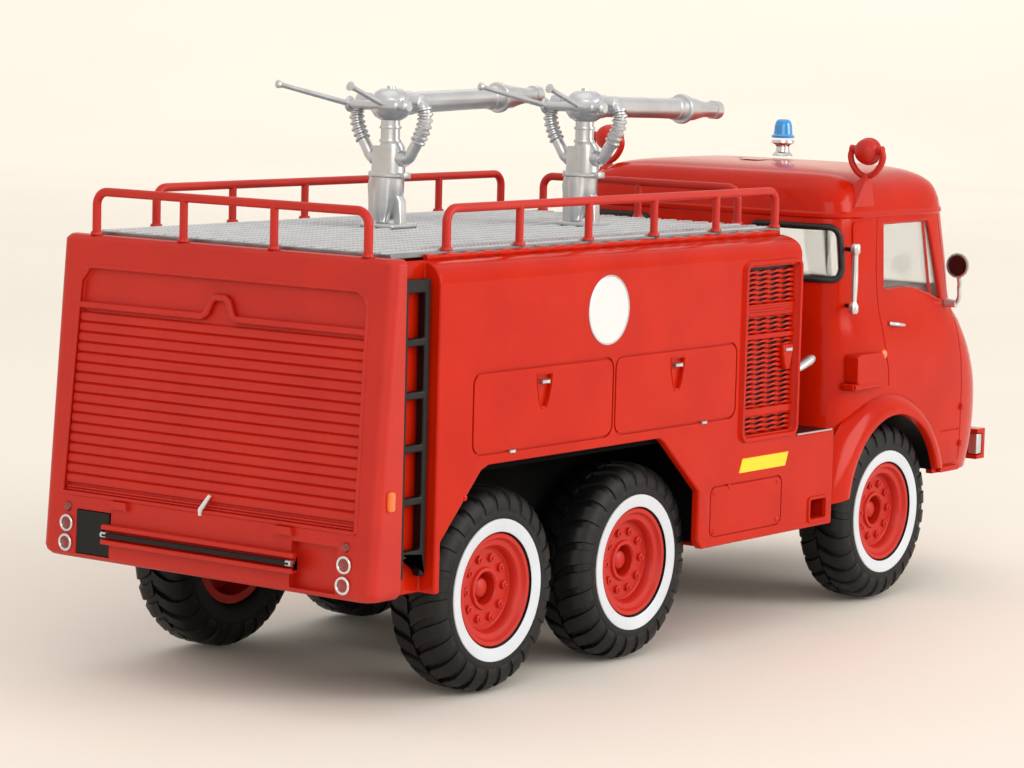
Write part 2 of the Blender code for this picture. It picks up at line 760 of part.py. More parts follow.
def window_cutters(tag, c):
    """Blocks through the cab's walls for its windows, drawn in by c for the panes."""
    screen = rounded((-SCREEN_HALF + c, SCREEN_BOTTOM_Z + c), (SCREEN_HALF - c, WINDOW_TOP_Z - c), 2.6)
    door = door_outline(c)
    return {
        "door_window_right": outline("door_cut_right" + tag, [door], "y", -40, -20, CLEAR),
        "door_window_left": outline("door_cut_left" + tag, [door], "y", 20, 40, CLEAR),
        "corner_window_right": corner_cutter("_right" + tag, -1, c),
        "corner_window_left": corner_cutter("_left" + tag, 1, c),
        "windscreen": outline("screen_cut" + tag, [screen], "x", CAB_BELLY_X - 16, CAB_BELLY_X + 5, CLEAR),
    }


def cab_shell():
    shell = cab_solid("cab_shell", 0.0, CAB_BOTTOM_Z, RED_PAINT)
    centre = (FRONT_AXLE_X, AXLE_Z)
    liner_outer = FLARE_INNER_RADIUS + LINER_THICKNESS
    for tag, side in (("right", -1), ("left", 1)):
        for name, outer, inner_y, outer_y in (
            ("liner", liner_outer, FLARE_INNER_Y, CAB_HALF_WIDTH),
            ("flare", FLARE_INNER_RADIUS + FLARE_WIDTH, CAB_HALF_WIDTH - 1.5, FLARE_OUTER_Y),
        ):
            half_disc = arc(centre, outer, 12, 168, 24)
            ends = sorted((side * inner_y, side * outer_y))
            join(shell, outline(f"{name}_{tag}", [half_disc], "y", *ends, RED_PAINT))
    hollow = cab_solid("cab_hollow", CAB_WALL, CAB_BOTTOM_Z - 5, RED_PAINT)
    for tag, side in (("right", -1), ("left", 1)):
        keep = arc(centre, liner_outer, -10, 190, 24)
        ends = sorted((side * FLARE_INNER_Y, side * 40))
        cut(hollow, outline("liner_keep_" + tag, [keep], "y", *ends, RED_PAINT))
    cut(shell, hollow)
    hub = (FRONT_AXLE_X, 0, AXLE_Z)
    cut(
        shell,
        cylinder("wheel_well", hub, "y", FLARE_INNER_RADIUS, 2 * LIP_INNER_Y, RED_PAINT, segments=48),
        cylinder("lip_arch", (LIP_X, 0, LIP_Z), "y", LIP_RADIUS, 80, RED_PAINT, segments=48),
        box("cab_underside", (0, -40, 0), (100, 40, CAB_BOTTOM_Z), RED_PAINT),
        box(
            "cab_channel",
            (0, -CHASSIS_HALF_WIDTH - GAP, 0),
            (CHASSIS_FRONT_X + GAP, CHASSIS_HALF_WIDTH + GAP, CHASSIS_TOP_Z + GAP),
            RED_PAINT,
        ),
    )
    cut(shell, *window_cutters("", 0.0).values())
    for side in (-1, 1):
        lamp_hole = cylinder(
            f"headlamp_hole_{side}",
            (CAB_BELLY_X, side * HEADLAMP_Y, HEADLAMP_Z),
            "x",
            HEADLAMP_RADIUS + GAP,
            8,
            RED_PAINT,
        )
        cut(shell, lamp_hole)
    return shell


def cab_windows():
    """Panes cut from a thin skin just inside the cab's outer face."""
    inset = (CAB_WALL - GLASS_THICKNESS) / 2
    for name, block in window_cutters("_pane", GAP).items():
        pane = cab_solid(name, inset, CAB_BOTTOM_Z, CLEAR)
        inner = cab_solid(name + "_inner", inset + GLASS_THICKNESS, CAB_BOTTOM_Z - 5, CLEAR)
        cut(pane, inner)
        boolean(pane, block, "INTERSECT")


def cab_interior():
    """The black tub inside the cab: floor, two seats, dashboard and steering column."""
    half = CAB_HALF_WIDTH - CAB_WALL - 3.0
    front = CAB_BELLY_X - 13.2
    floor_top = CAB_FLOOR_Z + 1.6
    sunk = floor_top - 1
    tub = box("cab_interior", (CAB_REAR_X + 3, -half, CAB_FLOOR_Z), (front, half, floor_top), BLACK_PLASTIC)
    for tag, y in (("right", -SEAT_Y), ("left", SEAT_Y)):
        low, high = y - SEAT_HALF, y + SEAT_HALF
        cushion_top = (SEAT_FRONT_X, high, floor_top + SEAT_HEIGHT)
        seat = box("seat_" + tag, (SEAT_REAR_X + 1, low, sunk), cushion_top, BLACK_PLASTIC)
        back_top = (SEAT_REAR_X + BACKREST_THICKNESS, high, floor_top + BACKREST_HEIGHT)
        back = box("back_" + tag, (SEAT_REAR_X, low, sunk), back_top, BLACK_PLASTIC)
        join(tub, seat, back)
    dash_low = (front - DASH_DEPTH - 0.5, -half + 1, sunk)
    dash = box("dash", dash_low, (front - 0.5, half - 1, floor_top + DASH_HEIGHT), BLACK_PLASTIC)
    column_foot = (STEERING_X + 2.6, SEAT_Y, CAB_FLOOR_Z + 1)
    column_top = (STEERING_X + 0.1, SEAT_Y, STEERING_Z + 0.2)
    column = tube("column", [column_foot, column_top], 0.6, BLACK_PLASTIC)
    section = [(x + STEERING_RADIUS, z) for x, z in arc((0, 0), 0.45, 360, 60, 5)]
    rim = turned("steering_wheel", section, (STEERING_X, SEAT_Y, STEERING_Z), "z", BLACK_PLASTIC, steps=20)
    spoke_low = (STEERING_X - 0.5, SEAT_Y - STEERING_RADIUS, STEERING_Z - 0.3)
    spoke_high = (STEERING_X + 0.5, SEAT_Y + STEERING_RADIUS, STEERING_Z + 0.3)
    spoke = box("spoke", spoke_low, spoke_high, BLACK_PLASTIC)
    return join(tub, dash, column, rim, spoke)


def front_bumper():
    """The bumper bar, with the pad on its back that seats on the cab's front wall."""
    low = BUMPER_Z - BUMPER_HEIGHT / 2
    back = BUMPER_FRONT_X - BUMPER_DEPTH
    high = (BUMPER_FRONT_X, BUMPER_HALF, low + BUMPER_HEIGHT)
    bumper = box("front_bumper", (back, -BUMPER_HALF, low), high, RED_PAINT)
    soften = bumper.modifiers.new("soften", "BEVEL")
    soften.width = 0.5 * MM
    soften.segments = 2
    pad_top = BUMPER_Z + BUMPER_PAD_HEIGHT
    cab_front = CAB_BELLY_X - cab_drawn_in(pad_top)[1]
    pad_low = (cab_front + GAP, -BUMPER_PAD_HALF, BUMPER_Z)
    return join(bumper, box("bumper_pad", pad_low, (back + 1, BUMPER_PAD_HALF, pad_top), RED_PAINT))


def headlamps():
    profile = [
        (0.0, 1.6),
        (1.2, 1.5),
        (2.2, 1.1),
        (HEADLAMP_RADIUS, 0.4),
        (HEADLAMP_RADIUS, -1.2),
        (0.0, -1.2),
    ]
    for tag, side in (("right", -1), ("left", 1)):
        centre = (CAB_BELLY_X - 1.2, side * HEADLAMP_Y, HEADLAMP_Z)
        turned("headlamp_" + tag, profile, centre, "x", CLEAR, steps=24)


def mirrors():
    """A bent arm from the cab's front corner, with a round glass on each side."""
    wall = -CAB_HALF_WIDTH
    arm = tube(
        "mirror_right",
        [
            (MIRROR_ROOT_X, wall + 0.8, MIRROR_ROOT_Z),
            (MIRROR_ROOT_X, wall - 1.2, MIRROR_ROOT_Z + 0.4),
            (MIRROR_ROOT_X - 0.4, wall - 2.3, MIRROR_ROOT_Z + 1.8),
            (MIRROR_X + 0.9, -MIRROR_Y, MIRROR_Z),
        ],
        MIRROR_ARM_RADIUS,
        SILVER,
    )
    disc = cylinder("mirror_disc", (MIRROR_X + 0.4, -MIRROR_Y, MIRROR_Z), "x", MIRROR_RADIUS, 1.0, SILVER)
    join(arm, disc)
    mirrored("mirror_left", arm)


def grab_handles():
    out = CAB_HALF_WIDTH + 0.9
    points = [
        (HANDLE_X, -cab_side_y(HANDLE_X, HANDLE_TOP_Z) - GAP, HANDLE_TOP_Z - 0.4),
        (HANDLE_X, -out, HANDLE_TOP_Z),
        (HANDLE_X, -out, HANDLE_BOTTOM_Z),
        (HANDLE_X, -cab_side_y(HANDLE_X, HANDLE_BOTTOM_Z) - GAP, HANDLE_BOTTOM_Z + 0.4),
    ]
    mirrored("grab_handle_left", tube("grab_handle_right", points, HANDLE_RADIUS, SILVER))


def hand_lever():
    """The silver shut-off lever that sticks out of the body's front wall behind the cab."""
    root = (BODY_FRONT_X + GAP + HAND_LEVER_RADIUS, HAND_LEVER_Y, HAND_LEVER_ROOT_Z)
    reach = root[0] + HAND_LEVER_REACH
    bend = (reach - 2.0, HAND_LEVER_Y, HAND_LEVER_TIP_Z - 0.6)
    tip = (reach, HAND_LEVER_Y, HAND_LEVER_TIP_Z)
    return tube("hand_lever", [root, bend, tip], HAND_LEVER_RADIUS, SILVER)


def roof_lamps():
    foot = CAB_ROOF_Z + GAP
    flange = BEACON_RADIUS + 0.4
    base = [(0.0, 2.6), (flange, 2.6), (flange, 2.1), (1.3, 1.9), (1.7, 0.0), (0.0, 0.0)]
    turned("beacon_base", base, (BEACON_X, 0, foot), "z", CHROME, steps=24)
    lens_foot = foot + 2.6 + GAP
    height = BEACON_TOP_Z - lens_foot
    lens = [
        (0.0, height),
        (BEACON_RADIUS * 0.7, height - 0.1),
        (BEACON_RADIUS * 0.85, height - 0.6),
        (BEACON_RADIUS, 0.9),
        (flange, 0.6),
        (flange, 0.0),
        (0.0, 0.0),
    ]
    turned("beacon_lens", lens, (BEACON_X, 0, lens_foot), "z", BLUE, steps=24)
    y = -SPOTLIGHT_Y
    post = tube(
        "spotlight_right",
        [(SPOTLIGHT_X + 0.4, y - 0.9, CAB_DRIP_Z + 1.4), (SPOTLIGHT_X, y, SPOTLIGHT_Z - 1.5)],
        0.7,
        RED_PLASTIC,
    )
    bowl = [
        (0.0, SPOTLIGHT_RADIUS),
        (SPOTLIGHT_RADIUS * 0.6, SPOTLIGHT_RADIUS * 0.8),
        (SPOTLIGHT_RADIUS * 0.95, SPOTLIGHT_RADIUS * 0.3),
        (SPOTLIGHT_RADIUS, -0.4),
        (SPOTLIGHT_RADIUS, -1.2),
        (0.0, -1.2),
    ]
    middle = (SPOTLIGHT_X, y, SPOTLIGHT_Z)
    head = turned("spotlight_bowl", bowl, middle, "x", RED_PLASTIC, steps=24, flip=True)
    join(post, head)
    mirrored("spotlight_left", post)


# ---------------------------------------------------------------- monitors


def monitor_pedestal(tag, x, y):
    """The plugged-in foot of a monitor: a square trunk, a collar and a round post."""
    foot = DECK_TOP_Z + GAP
    name = f"monitor_{tag}_pedestal"
    half = COLLAR_RADIUS - 0.5
    plan = rounded((x - half, y - half), (x + half, y + half), 0.5, 2)
    base = cylinder(name, (x, y, foot + 0.4), "z", COLLAR_RADIUS, 0.8, SILVER, segments=24)
    trunk = outline(f"trunk_{tag}", [plan], "z", foot + 0.3, PEDESTAL_TOP_Z, SILVER)
    collar = cylinder(f"collar_{tag}", (x, y, COLLAR_Z), "z", COLLAR_RADIUS, 0.9, SILVER, segments=24)
    post_low = PEDESTAL_TOP_Z - 1
    post_high = MONITOR_AXIS_Z - HEAD_HEIGHT / 2 - GAP
    post_middle = (x, y, (post_low + post_high) / 2)
    post = cylinder(f"post_{tag}", post_middle, "z", POST_RADIUS, post_high - post_low, SILVER, segments=24)
    return join(base, trunk, collar, post)


def monitor_gun(tag, x, y, pitch):
    """The monitor's head with its barrel, its two hoses and its two steering levers."""
    axis = Vector((x, y, MONITOR_AXIS_Z))
    along = Vector((cos(radians(pitch)), 0, sin(radians(pitch))))
    half = HEAD_HEIGHT / 2
    dome = [(0.0, half), (1.6, half - 0.2), (2.6, half - 0.9), (HEAD_RADIUS, 0.6)]
    head = [*dome, *[(radius, -height) for radius, height in reversed(dome)]]
    gun = turned(f"monitor_{tag}_gun", head, axis, "z", SILVER, steps=24)
    barrel = tube(f"barrel_{tag}", [axis, axis + along * RING_START], BARREL_RADIUS, SILVER, resolution=4)
    ring_ends = [axis + along * (RING_START - 1), axis + along * RING_END]
    ring = tube(f"ring_{tag}", ring_ends, RING_RADIUS, SILVER, resolution=4)
    nozzle_ends = [axis + along * (RING_END - 1), axis + along * BARREL_REACH]
    nozzle = tube(f"nozzle_{tag}", nozzle_ends, BARREL_RADIUS * 0.8, SILVER, resolution=4)
    cross = cylinder(f"cross_{tag}", axis, "y", HOSE_RADIUS, 2 * HOSE_TOP_Y, SILVER, segments=16)
    shaft_middle = axis - Vector((SHAFT_BACK, 0, 0.1))
    shaft = cylinder(f"shaft_{tag}", shaft_middle, "y", SHAFT_RADIUS, 2 * SHAFT_HALF, SILVER, segments=16)
    join(gun, barrel, ring, nozzle, cross, shaft)
    for side in (-1, 1):
        shoulder = HOSE_TOP_Y - 0.5
        hose = [(shoulder, 0.3), (HOSE_TOP_Y, -1.3), (shoulder, -3.4), (4.2, -5.8), (3.4, -7.2)]
        points = [axis + Vector((0, side * out, up)) for out, up in hose]
        join(gun, tube(f"hose_{tag}_{side}", points, HOSE_RADIUS, SILVER))
    for name, out, back, rise in (("long", SHAFT_HALF + 0.1, 14.6, 3.1), ("short", -1.1, 7.2, 3.1)):
        root = shaft_middle + Vector((0, out, 0))
        join(gun, tube(f"lever_{name}_{tag}", [root, root + Vector((-back, 0, rise))], LEVER_RADIUS, SILVER))
    return gun


def monitors():
    for tag, x, y, pitch in (
        ("rear", REAR_MONITOR_X, MONITOR_Y, REAR_MONITOR_PITCH),
        ("front", FRONT_MONITOR_X, -MONITOR_Y, FRONT_MONITOR_PITCH),
    ):
        monitor_pedestal(tag, x, y)
        monitor_gun(tag, x, y, pitch)


# ---------------------------------------------------------------- chassis and wheels


def chassis():
    """The black baseplate with its frame rails and a block round each axle pin."""
    plate = box(
        "chassis_frame",
        (CHASSIS_REAR_X, -CHASSIS_HALF_WIDTH, CHASSIS_BOTTOM_Z),
        (CHASSIS_FRONT_X, CHASSIS_HALF_WIDTH, CHASSIS_TOP_Z),
        BLACK_PLASTIC,
    )
    length = 2 * AXLE_BLOCK_HALF
    for tag, x in AXLES.items():
        pin = (x, 0, AXLE_Z)
        block = cylinder(f"axle_block_{tag}", pin, "y", AXLE_BLOCK_RADIUS, length, BLACK_PLASTIC, segments=24)
        web_half = AXLE_BLOCK_RADIUS + 0.2
        web_low = (x - web_half, -AXLE_BLOCK_HALF, AXLE_Z)
        web_high = (x + web_half, AXLE_BLOCK_HALF, CHASSIS_BOTTOM_Z + 1)
        join(plate, block, box(f"axle_web_{tag}", web_low, web_high, BLACK_PLASTIC))
    bore_radius = PIN_RADIUS + PIN_CLEARANCE
    for tag, x in AXLES.items():
        pin = (x, 0, AXLE_Z)
        cut(plate, cylinder(f"bore_{tag}", pin, "y", bore_radius, 60, BLACK_PLASTIC, segments=24))
    return plate


def wheels():
    """Three steel pins, each with two red rims and their rubber tyres."""
    half = TYRE_WIDTH / 2
    seat = RIM_RADIUS + GAP
    tyre_profile = [
        (seat, half - 0.3),
        (seat + 2.4, half),
        (TYRE_RADIUS - 2.0, half),
        (TYRE_RADIUS - 0.6, half - 0.9),
        (TYRE_RADIUS, half - 2.0),
        (TYRE_RADIUS, -half + 2.0),
        (TYRE_RADIUS - 0.6, -half + 0.9),
        (TYRE_RADIUS - 2.0, -half),
        (seat + 2.4, -half),
        (seat, -half + 0.3),
    ]
    bore = PIN_RADIUS + GAP
    face = half - 0.5
    rim_profile = [
        (bore, face - 1.3),
        (2.5, face - 1.3),
        (3.0, face - 2.0),
        (5.2, face - 2.0),
        (5.7, face - 0.6),
        (RIM_RADIUS, face),
        (RIM_RADIUS, -half + 1.0),
        (RIM_RADIUS - 1.2, -half + 1.0),
        (RIM_RADIUS - 1.6, -half + 4.0),
        (2.6, -half + 3.2),
        (2.6, -half + 0.2),
        (bore, -half + 0.2),
    ]
    centre_y = WHEEL_OUTER_Y - half
    pin_length = 2 * (WHEEL_OUTER_Y - 1.3)
    for place_name, x in AXLES.items():
        cylinder(f"axle_{place_name}", (x, 0, AXLE_Z), "y", PIN_RADIUS, pin_length, STEEL, segments=24)
        for tag, side in (("right", -1), ("left", 1)):
            centre = (x, side * centre_y, AXLE_Z)
            flip = side < 0
            turned(f"tyre_{place_name}_{tag}", tyre_profile, centre, "y", RUBBER, steps=32, flip=flip)
            turned(f"rim_{place_name}_{tag}", rim_profile, centre, "y", RED_PLASTIC, steps=24, flip=flip)


body_shell()
deck_plate()
rear_casting()
rear_bar()
ladder()
guard_rails()
cab_shell()
cab_windows()
cab_interior()
front_bumper()
headlamps()
mirrors()
grab_handles()
hand_lever()
roof_lamps()
monitors()
chassis()
wheels()
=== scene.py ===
"""A die-cast 1:43 model of a six-wheeled airport fire truck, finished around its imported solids.

Sizes are in millimetres on the model, and MM turns them into metres. +X is forward, +Y is left.
"""

from math import cos, pi, radians, sin, sqrt

import bmesh
import bpy
from mathutils import Matrix, Vector


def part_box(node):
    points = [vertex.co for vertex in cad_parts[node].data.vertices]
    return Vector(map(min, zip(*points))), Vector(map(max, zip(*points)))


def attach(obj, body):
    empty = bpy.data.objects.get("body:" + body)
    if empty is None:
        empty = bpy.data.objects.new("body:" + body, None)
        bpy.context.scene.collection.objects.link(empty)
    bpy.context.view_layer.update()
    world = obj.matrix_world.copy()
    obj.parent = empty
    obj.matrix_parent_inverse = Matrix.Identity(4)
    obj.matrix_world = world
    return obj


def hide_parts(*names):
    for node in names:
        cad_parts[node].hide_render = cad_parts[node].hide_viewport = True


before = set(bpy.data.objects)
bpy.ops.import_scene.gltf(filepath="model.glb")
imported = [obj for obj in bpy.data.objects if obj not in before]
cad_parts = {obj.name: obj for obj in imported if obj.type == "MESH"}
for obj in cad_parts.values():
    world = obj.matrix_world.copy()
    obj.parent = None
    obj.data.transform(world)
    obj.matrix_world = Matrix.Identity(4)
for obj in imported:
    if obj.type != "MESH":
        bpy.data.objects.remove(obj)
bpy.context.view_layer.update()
MM = 0.001


# ------------------------------------------------------------------ table, light and camera
# The model stands on a sheet of warm white card that curves up all round it. Three soft boxes light it:
# a broad one overhead and two at its right, and a fourth lights the sweep behind. The lens is 119 mm.


def linear(colour):
    """An sRGB hex colour as linear RGBA."""
    parts = [int(colour[i : i + 2], 16) / 255 for i in (1, 3, 5)]
    return (*[c / 12.92 if c <= 0.04045 else ((c + 0.055) / 1.055) ** 2.4 for c in parts], 1.0)


def add_node(tree, kind, inputs=None, **settings):
    """A new node; an input is set to a value or linked from another node's socket."""
    made = tree.nodes.new(kind)
    for key, value in settings.items():
        setattr(made, key, value)
    for key, value in (inputs or {}).items():
        if isinstance(value, bpy.types.NodeSocket):
            tree.links.new(value, made.inputs[key])
        else:
            made.inputs[key].default_value = value
    return made


def surface(name, dark, light, roughness, grain, bump, patch=9.0, **sockets):
    """A finish whose tone drifts between two colours, with a fine bumped grain; sizes in mm.

    roughness is its lowest and highest value, and the other sockets are set on the shader itself.
    """
    made = bpy.data.materials.new(name)
    made.use_nodes = True
    tree = made.node_tree
    shader = tree.nodes["Principled BSDF"]
    place = add_node(tree, "ShaderNodeTexCoord").outputs["Object"]
    drift = add_node(
        tree, "ShaderNodeTexNoise", {"Vector": place, "Scale": 1 / (patch * MM), "Detail": 4.0}
    )
    fine = add_node(
        tree, "ShaderNodeTexNoise", {"Vector": place, "Scale": 1 / (grain * MM), "Detail": 3.0}
    )
    spread = {"Value": drift.outputs["Fac"], "From Min": 0.35, "From Max": 0.65}
    share = add_node(tree, "ShaderNodeMapRange", spread).outputs["Result"]
    mixed = add_node(
        tree, "ShaderNodeMix", {0: share, 6: linear(dark), 7: linear(light)}, data_type="RGBA"
    )
    gloss = {"Value": fine.outputs["Fac"], "To Min": roughness[0], "To Max": roughness[1]}
    rough = add_node(tree, "ShaderNodeMapRange", gloss)
    raised = add_node(tree, "ShaderNodeBump", {"Height": fine.outputs["Fac"], "Distance": bump * MM})
    tree.links.new(mixed.outputs[2], shader.inputs["Base Color"])
    tree.links.new(rough.outputs["Result"], shader.inputs["Roughness"])
    tree.links.new(raised.outputs["Normal"], shader.inputs["Normal"])
    for key, value in sockets.items():
        shader.inputs[key.replace("_", " ")].default_value = value
    return made


def link(name, mesh):
    made = bpy.data.objects.new(name, mesh)
    bpy.context.scene.collection.objects.link(made)
    return made


TURNED = {
    "x": lambda a, b, h: Vector((h, a, b)),
    "y": lambda a, b, h: Vector((a, h, b)),
    "z": lambda a, b, h: Vector((a, b, h)),
}


def lathe(bm, profile, centre, axis, steps=48, closed=False):
    """A profile of (radius, height) points turned about an axis through centre."""
    rings = []
    for radius, height in profile:
        turns = [2 * pi * k / steps for k in range(steps if radius > 0 else 1)]
        spots = [TURNED[axis](radius * cos(t), radius * sin(t), height) for t in turns]
        rings.append([bm.verts.new((Vector(centre) + spot) * MM) for spot in spots])
    pairs = list(zip(rings, rings[1:]))
    if closed:
        pairs.append((rings[-1], rings[0]))
    for low, high in pairs:
        for k in range(steps):
            j = (k + 1) % steps
            corners = [low[k % len(low)], low[j % len(low)], high[j % len(high)], high[k % len(high)]]
            bm.faces.new(list(dict.fromkeys(corners)))


sheet = bmesh.new()
FLAT_R, SWEEP_R, SHEET_Z = 1400, 700, -0.3
curl = [(FLAT_R + SWEEP_R * sin(radians(a)), SWEEP_R * (1 - cos(radians(a)))) for a in range(0, 91, 9)]
lathe(sheet, [(0, 0), *curl], (0, 0, SHEET_Z), "z", 96)
sheet_mesh = bpy.data.meshes.new("table_sheet")
sheet.to_mesh(sheet_mesh)
sheet.free()
sheet_mesh.shade_smooth()
table = link("table_sheet", sheet_mesh)
# Matt coated card: flat and pale, with only a faint drift of tone.
CARD = surface("coated_card", "#ede8df", "#f1ece3", (0.75, 0.85), 1.5, 0.01, patch=260.0)
sheet_mesh.materials.append(CARD)

for name, place, size, power, aim in (
    ("overhead_box", (-0.10, 0.05, 1.15), 1.10, 1.5, (0.0, 0.0, 0.0)),
    ("front_box", (-0.95, -0.75, 0.60), 0.80, 4.3, (0.0, 0.0, 0.03)),
    ("side_box", (0.45, -1.10, 0.45), 0.70, 7.5, (0.0, 0.0, 0.03)),
    ("sweep_box", (1.15, 0.85, 1.00), 1.00, 4.0, (1.45, 1.08, 0.1)),
):
    lamp = bpy.data.lights.new(name, "AREA")
    lamp.size = size
    lamp.energy = power
    lamp.color = linear("#fffcf8")[:3]
    light = link(name, lamp)
    light.location = place
    light.rotation_euler = (Vector(aim) - Vector(place)).to_track_quat("-Z", "Y").to_euler()

world = bpy.data.worlds.new("studio_air")
world.use_nodes = True
world.node_tree.nodes["Background"].inputs["Color"].default_value = linear("#fffaf5")
world.node_tree.nodes["Background"].inputs["Strength"].default_value = 0.8
bpy.context.scene.world = world

azimuth, elevation, roll = radians(36.657), radians(6.402), radians(1.460)
look = Vector((cos(elevation) * cos(azimuth), cos(elevation) * sin(azimuth), -sin(elevation)))
level = look.cross(Vector((0, 0, 1))).normalized()
upward = level.cross(look)
right = cos(roll) * level + sin(roll) * upward
top = cos(roll) * upward - sin(roll) * level
stand = Vector((-0.40764, -0.29134, 0.09067))
lens = bpy.data.cameras.new("camera")
lens.sensor_width = 36.0
lens.lens = 119.1
lens.clip_start = 0.01
camera = link("camera", lens)
camera.matrix_world = Matrix.Translation(stand) @ Matrix((right, top, -look)).transposed().to_4x4()
bpy.context.scene.camera = camera
bpy.context.scene.view_settings.view_transform = "Standard"


# ------------------------------------------------------------------ superstructure
# The tank body with its lockers is one zinc casting, sprayed with gloss red enamel. The flap doors, their
# shield-shaped hand recesses, the access cover and the frame of the radiator grille are cast in its sides.


def facing(profile, side):
    """A profile of (radius, height) points with its heights turned to face a side of the truck."""
    return [(radius, side * height) for radius, height in profile]


def skin(bm, rings, capped=False):
    """Quads between neighbouring rings of points, with the end rings filled when capped."""
    for one, two in zip(rings, rings[1:]):
        for k in range(len(one)):
            j = (k + 1) % len(one)
            bm.faces.new((one[k], one[j], two[j], two[k]))
    if capped:
        bm.faces.new(rings[0])
        bm.faces.new(rings[-1])


def pipe(bm, points, radius, sides=12, closed=False):
    """A round bar through points; radius is one number, or one for each point."""
    points = [Vector(point) for point in points]
    count = len(points)
    radii = list(radius) if isinstance(radius, (list, tuple)) else [radius] * count
    normal = None
    rings = []
    for i, point in enumerate(points):
        before = points[i - 1] if i or closed else point
        after = points[(i + 1) % count] if i + 1 < count or closed else point
        along = (after - before).normalized()
        normal = along.orthogonal() if normal is None else normal - along * normal.dot(along)
        normal.normalize()
        across = along.cross(normal)
        turns = [2 * pi * k / sides for k in range(sides)]
        spots = [point + (normal * cos(t) + across * sin(t)) * radii[i] for t in turns]
        rings.append([bm.verts.new(spot * MM) for spot in spots])
    skin(bm, rings, not closed)
    if not closed:
        return
    shift = min(range(sides), key=lambda s: (rings[-1][0].co - rings[0][s].co).length)
    for k in range(sides):
        j = (k + 1) % sides
        first = rings[0][(j + shift) % sides], rings[0][(k + shift) % sides]
        bm.faces.new((rings[-1][k], rings[-1][j], *first))


def prism(bm, ring, axis, low, high, edge=0.0):
    """A flat outline of (a, b) points drawn along an axis, with its rims rounded by edge."""
    ends = [[bm.verts.new(TURNED[axis](a, b, h) * MM) for a, b in ring] for h in (low, high)]
    faces = [bm.faces.new(end) for end in ends]
    count = len(ring)
    for k in range(count):
        j = (k + 1) % count
        bm.faces.new((ends[0][k], ends[0][j], ends[1][j], ends[1][k]))
    if edge:
        rims = list({rim for face in faces for rim in face.edges})
        bmesh.ops.bevel(bm, geom=rims, offset=edge * MM, segments=3, profile=0.5, affect="EDGES")


def block(bm, low, high, edge=0.0):
    """A box between two corners, with every edge rounded."""
    verts = bmesh.ops.create_cube(bm, size=1.0)["verts"]
    size = [b - a for a, b in zip(low, high)]
    middle = [(a + b) / 2 for a, b in zip(low, high)]
    for vert in verts:
        vert.co = Vector([c * s + m for c, s, m in zip(vert.co, size, middle)]) * MM
    if edge:
        edges = list({rim for vert in verts for rim in vert.link_edges})
        bmesh.ops.bevel(bm, geom=edges, offset=edge * MM, segments=3, profile=0.5, affect="EDGES")


def arc(centre, radius, start, end, steps):
    turns = [radians(start + (end - start) * k / steps) for k in range(steps + 1)]
    return [(centre[0] + radius * cos(t), centre[1] + radius * sin(t)) for t in turns]


def rounded(low, high, radius, steps=5):
    """The outline of a rectangle with round corners."""
    xs, ys = (high[0] - radius, low[0] + radius), (high[1] - radius, low[1] + radius)
    corners = ((xs[0], ys[0], 0), (xs[1], ys[0], 90), (xs[1], ys[1], 180), (xs[0], ys[1], 270))
    return [spot for x, y, start in corners for spot in arc((x, y), radius, start, start + 90, steps)]


def grown(ring, amount):
    """An outline moved outwards by an amount; the outline runs anticlockwise."""
    moved = []
    for k, spot in enumerate(ring):
        along = Vector(ring[(k + 1) % len(ring)]) - Vector(ring[k - 1])
        moved.append(tuple(Vector(spot) + Vector((along.y, -along.x)).normalized() * amount))
    return moved


def moulding(bm, ring, width, axis, low, high, edge=0.0):
    """A strip of a given width that follows an outline, drawn along an axis."""
    rings = [grown(ring, width / 2), grown(ring, -width / 2)]
    layers = []
    for outline, h in ((rings[0], low), (rings[0], high), (rings[1], high), (rings[1], low)):
        if edge and h == high:
            outline = grown(outline, -edge if outline is rings[0] else edge)
        layers.append([bm.verts.new(TURNED[axis](a, b, h) * MM) for a, b in outline])
    skin(bm, [*layers, layers[0]])


def settle(piece, material, body, replaced=(), sharp=40.0):
    """Shades a piece with flat panels and soft edges, and hands it to a body of the frame."""
    mesh = piece.data
    mesh.materials.clear()
    mesh.materials.append(material)
    mesh.shade_smooth()
    mesh.set_sharp_from_angle(angle=radians(sharp))
    piece.modifiers.new("panels", "WEIGHTED_NORMAL").keep_sharp = True
    baked(piece)
    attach(piece, body)
    if replaced:
        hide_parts(*replaced)
    return piece


def raw(name, bm):
    """A piece from closed shapes, welded and with its faces turned outwards."""
    bmesh.ops.remove_doubles(bm, verts=bm.verts, dist=0.0001 * MM)
    bmesh.ops.recalc_face_normals(bm, faces=bm.faces)
    mesh = bpy.data.meshes.new(name)
    bm.to_mesh(mesh)
    bm.free()
    return link(name, mesh)


def put(name, bm, material, replaced=(), body="truck", sharp=40.0):
    return settle(raw(name, bm), material, body, replaced, sharp)


def baked(piece):
    """Applies a piece's modifiers to its mesh."""
    bpy.context.view_layer.update()
    graph = bpy.context.evaluated_depsgraph_get()
    made = bpy.data.meshes.new_from_object(piece.evaluated_get(graph))
    piece.modifiers.clear()
    piece.data = made
    return piece


def carve(piece, tools, solver="EXACT"):
    """Cuts closed shapes out of a piece."""
    tool = raw("cutter", tools)
    cut = piece.modifiers.new("cut", "BOOLEAN")
    cut.operation = "DIFFERENCE"
    cut.solver = solver
    cut.object = tool
    baked(piece)
    bpy.data.objects.remove(tool)
    return piece


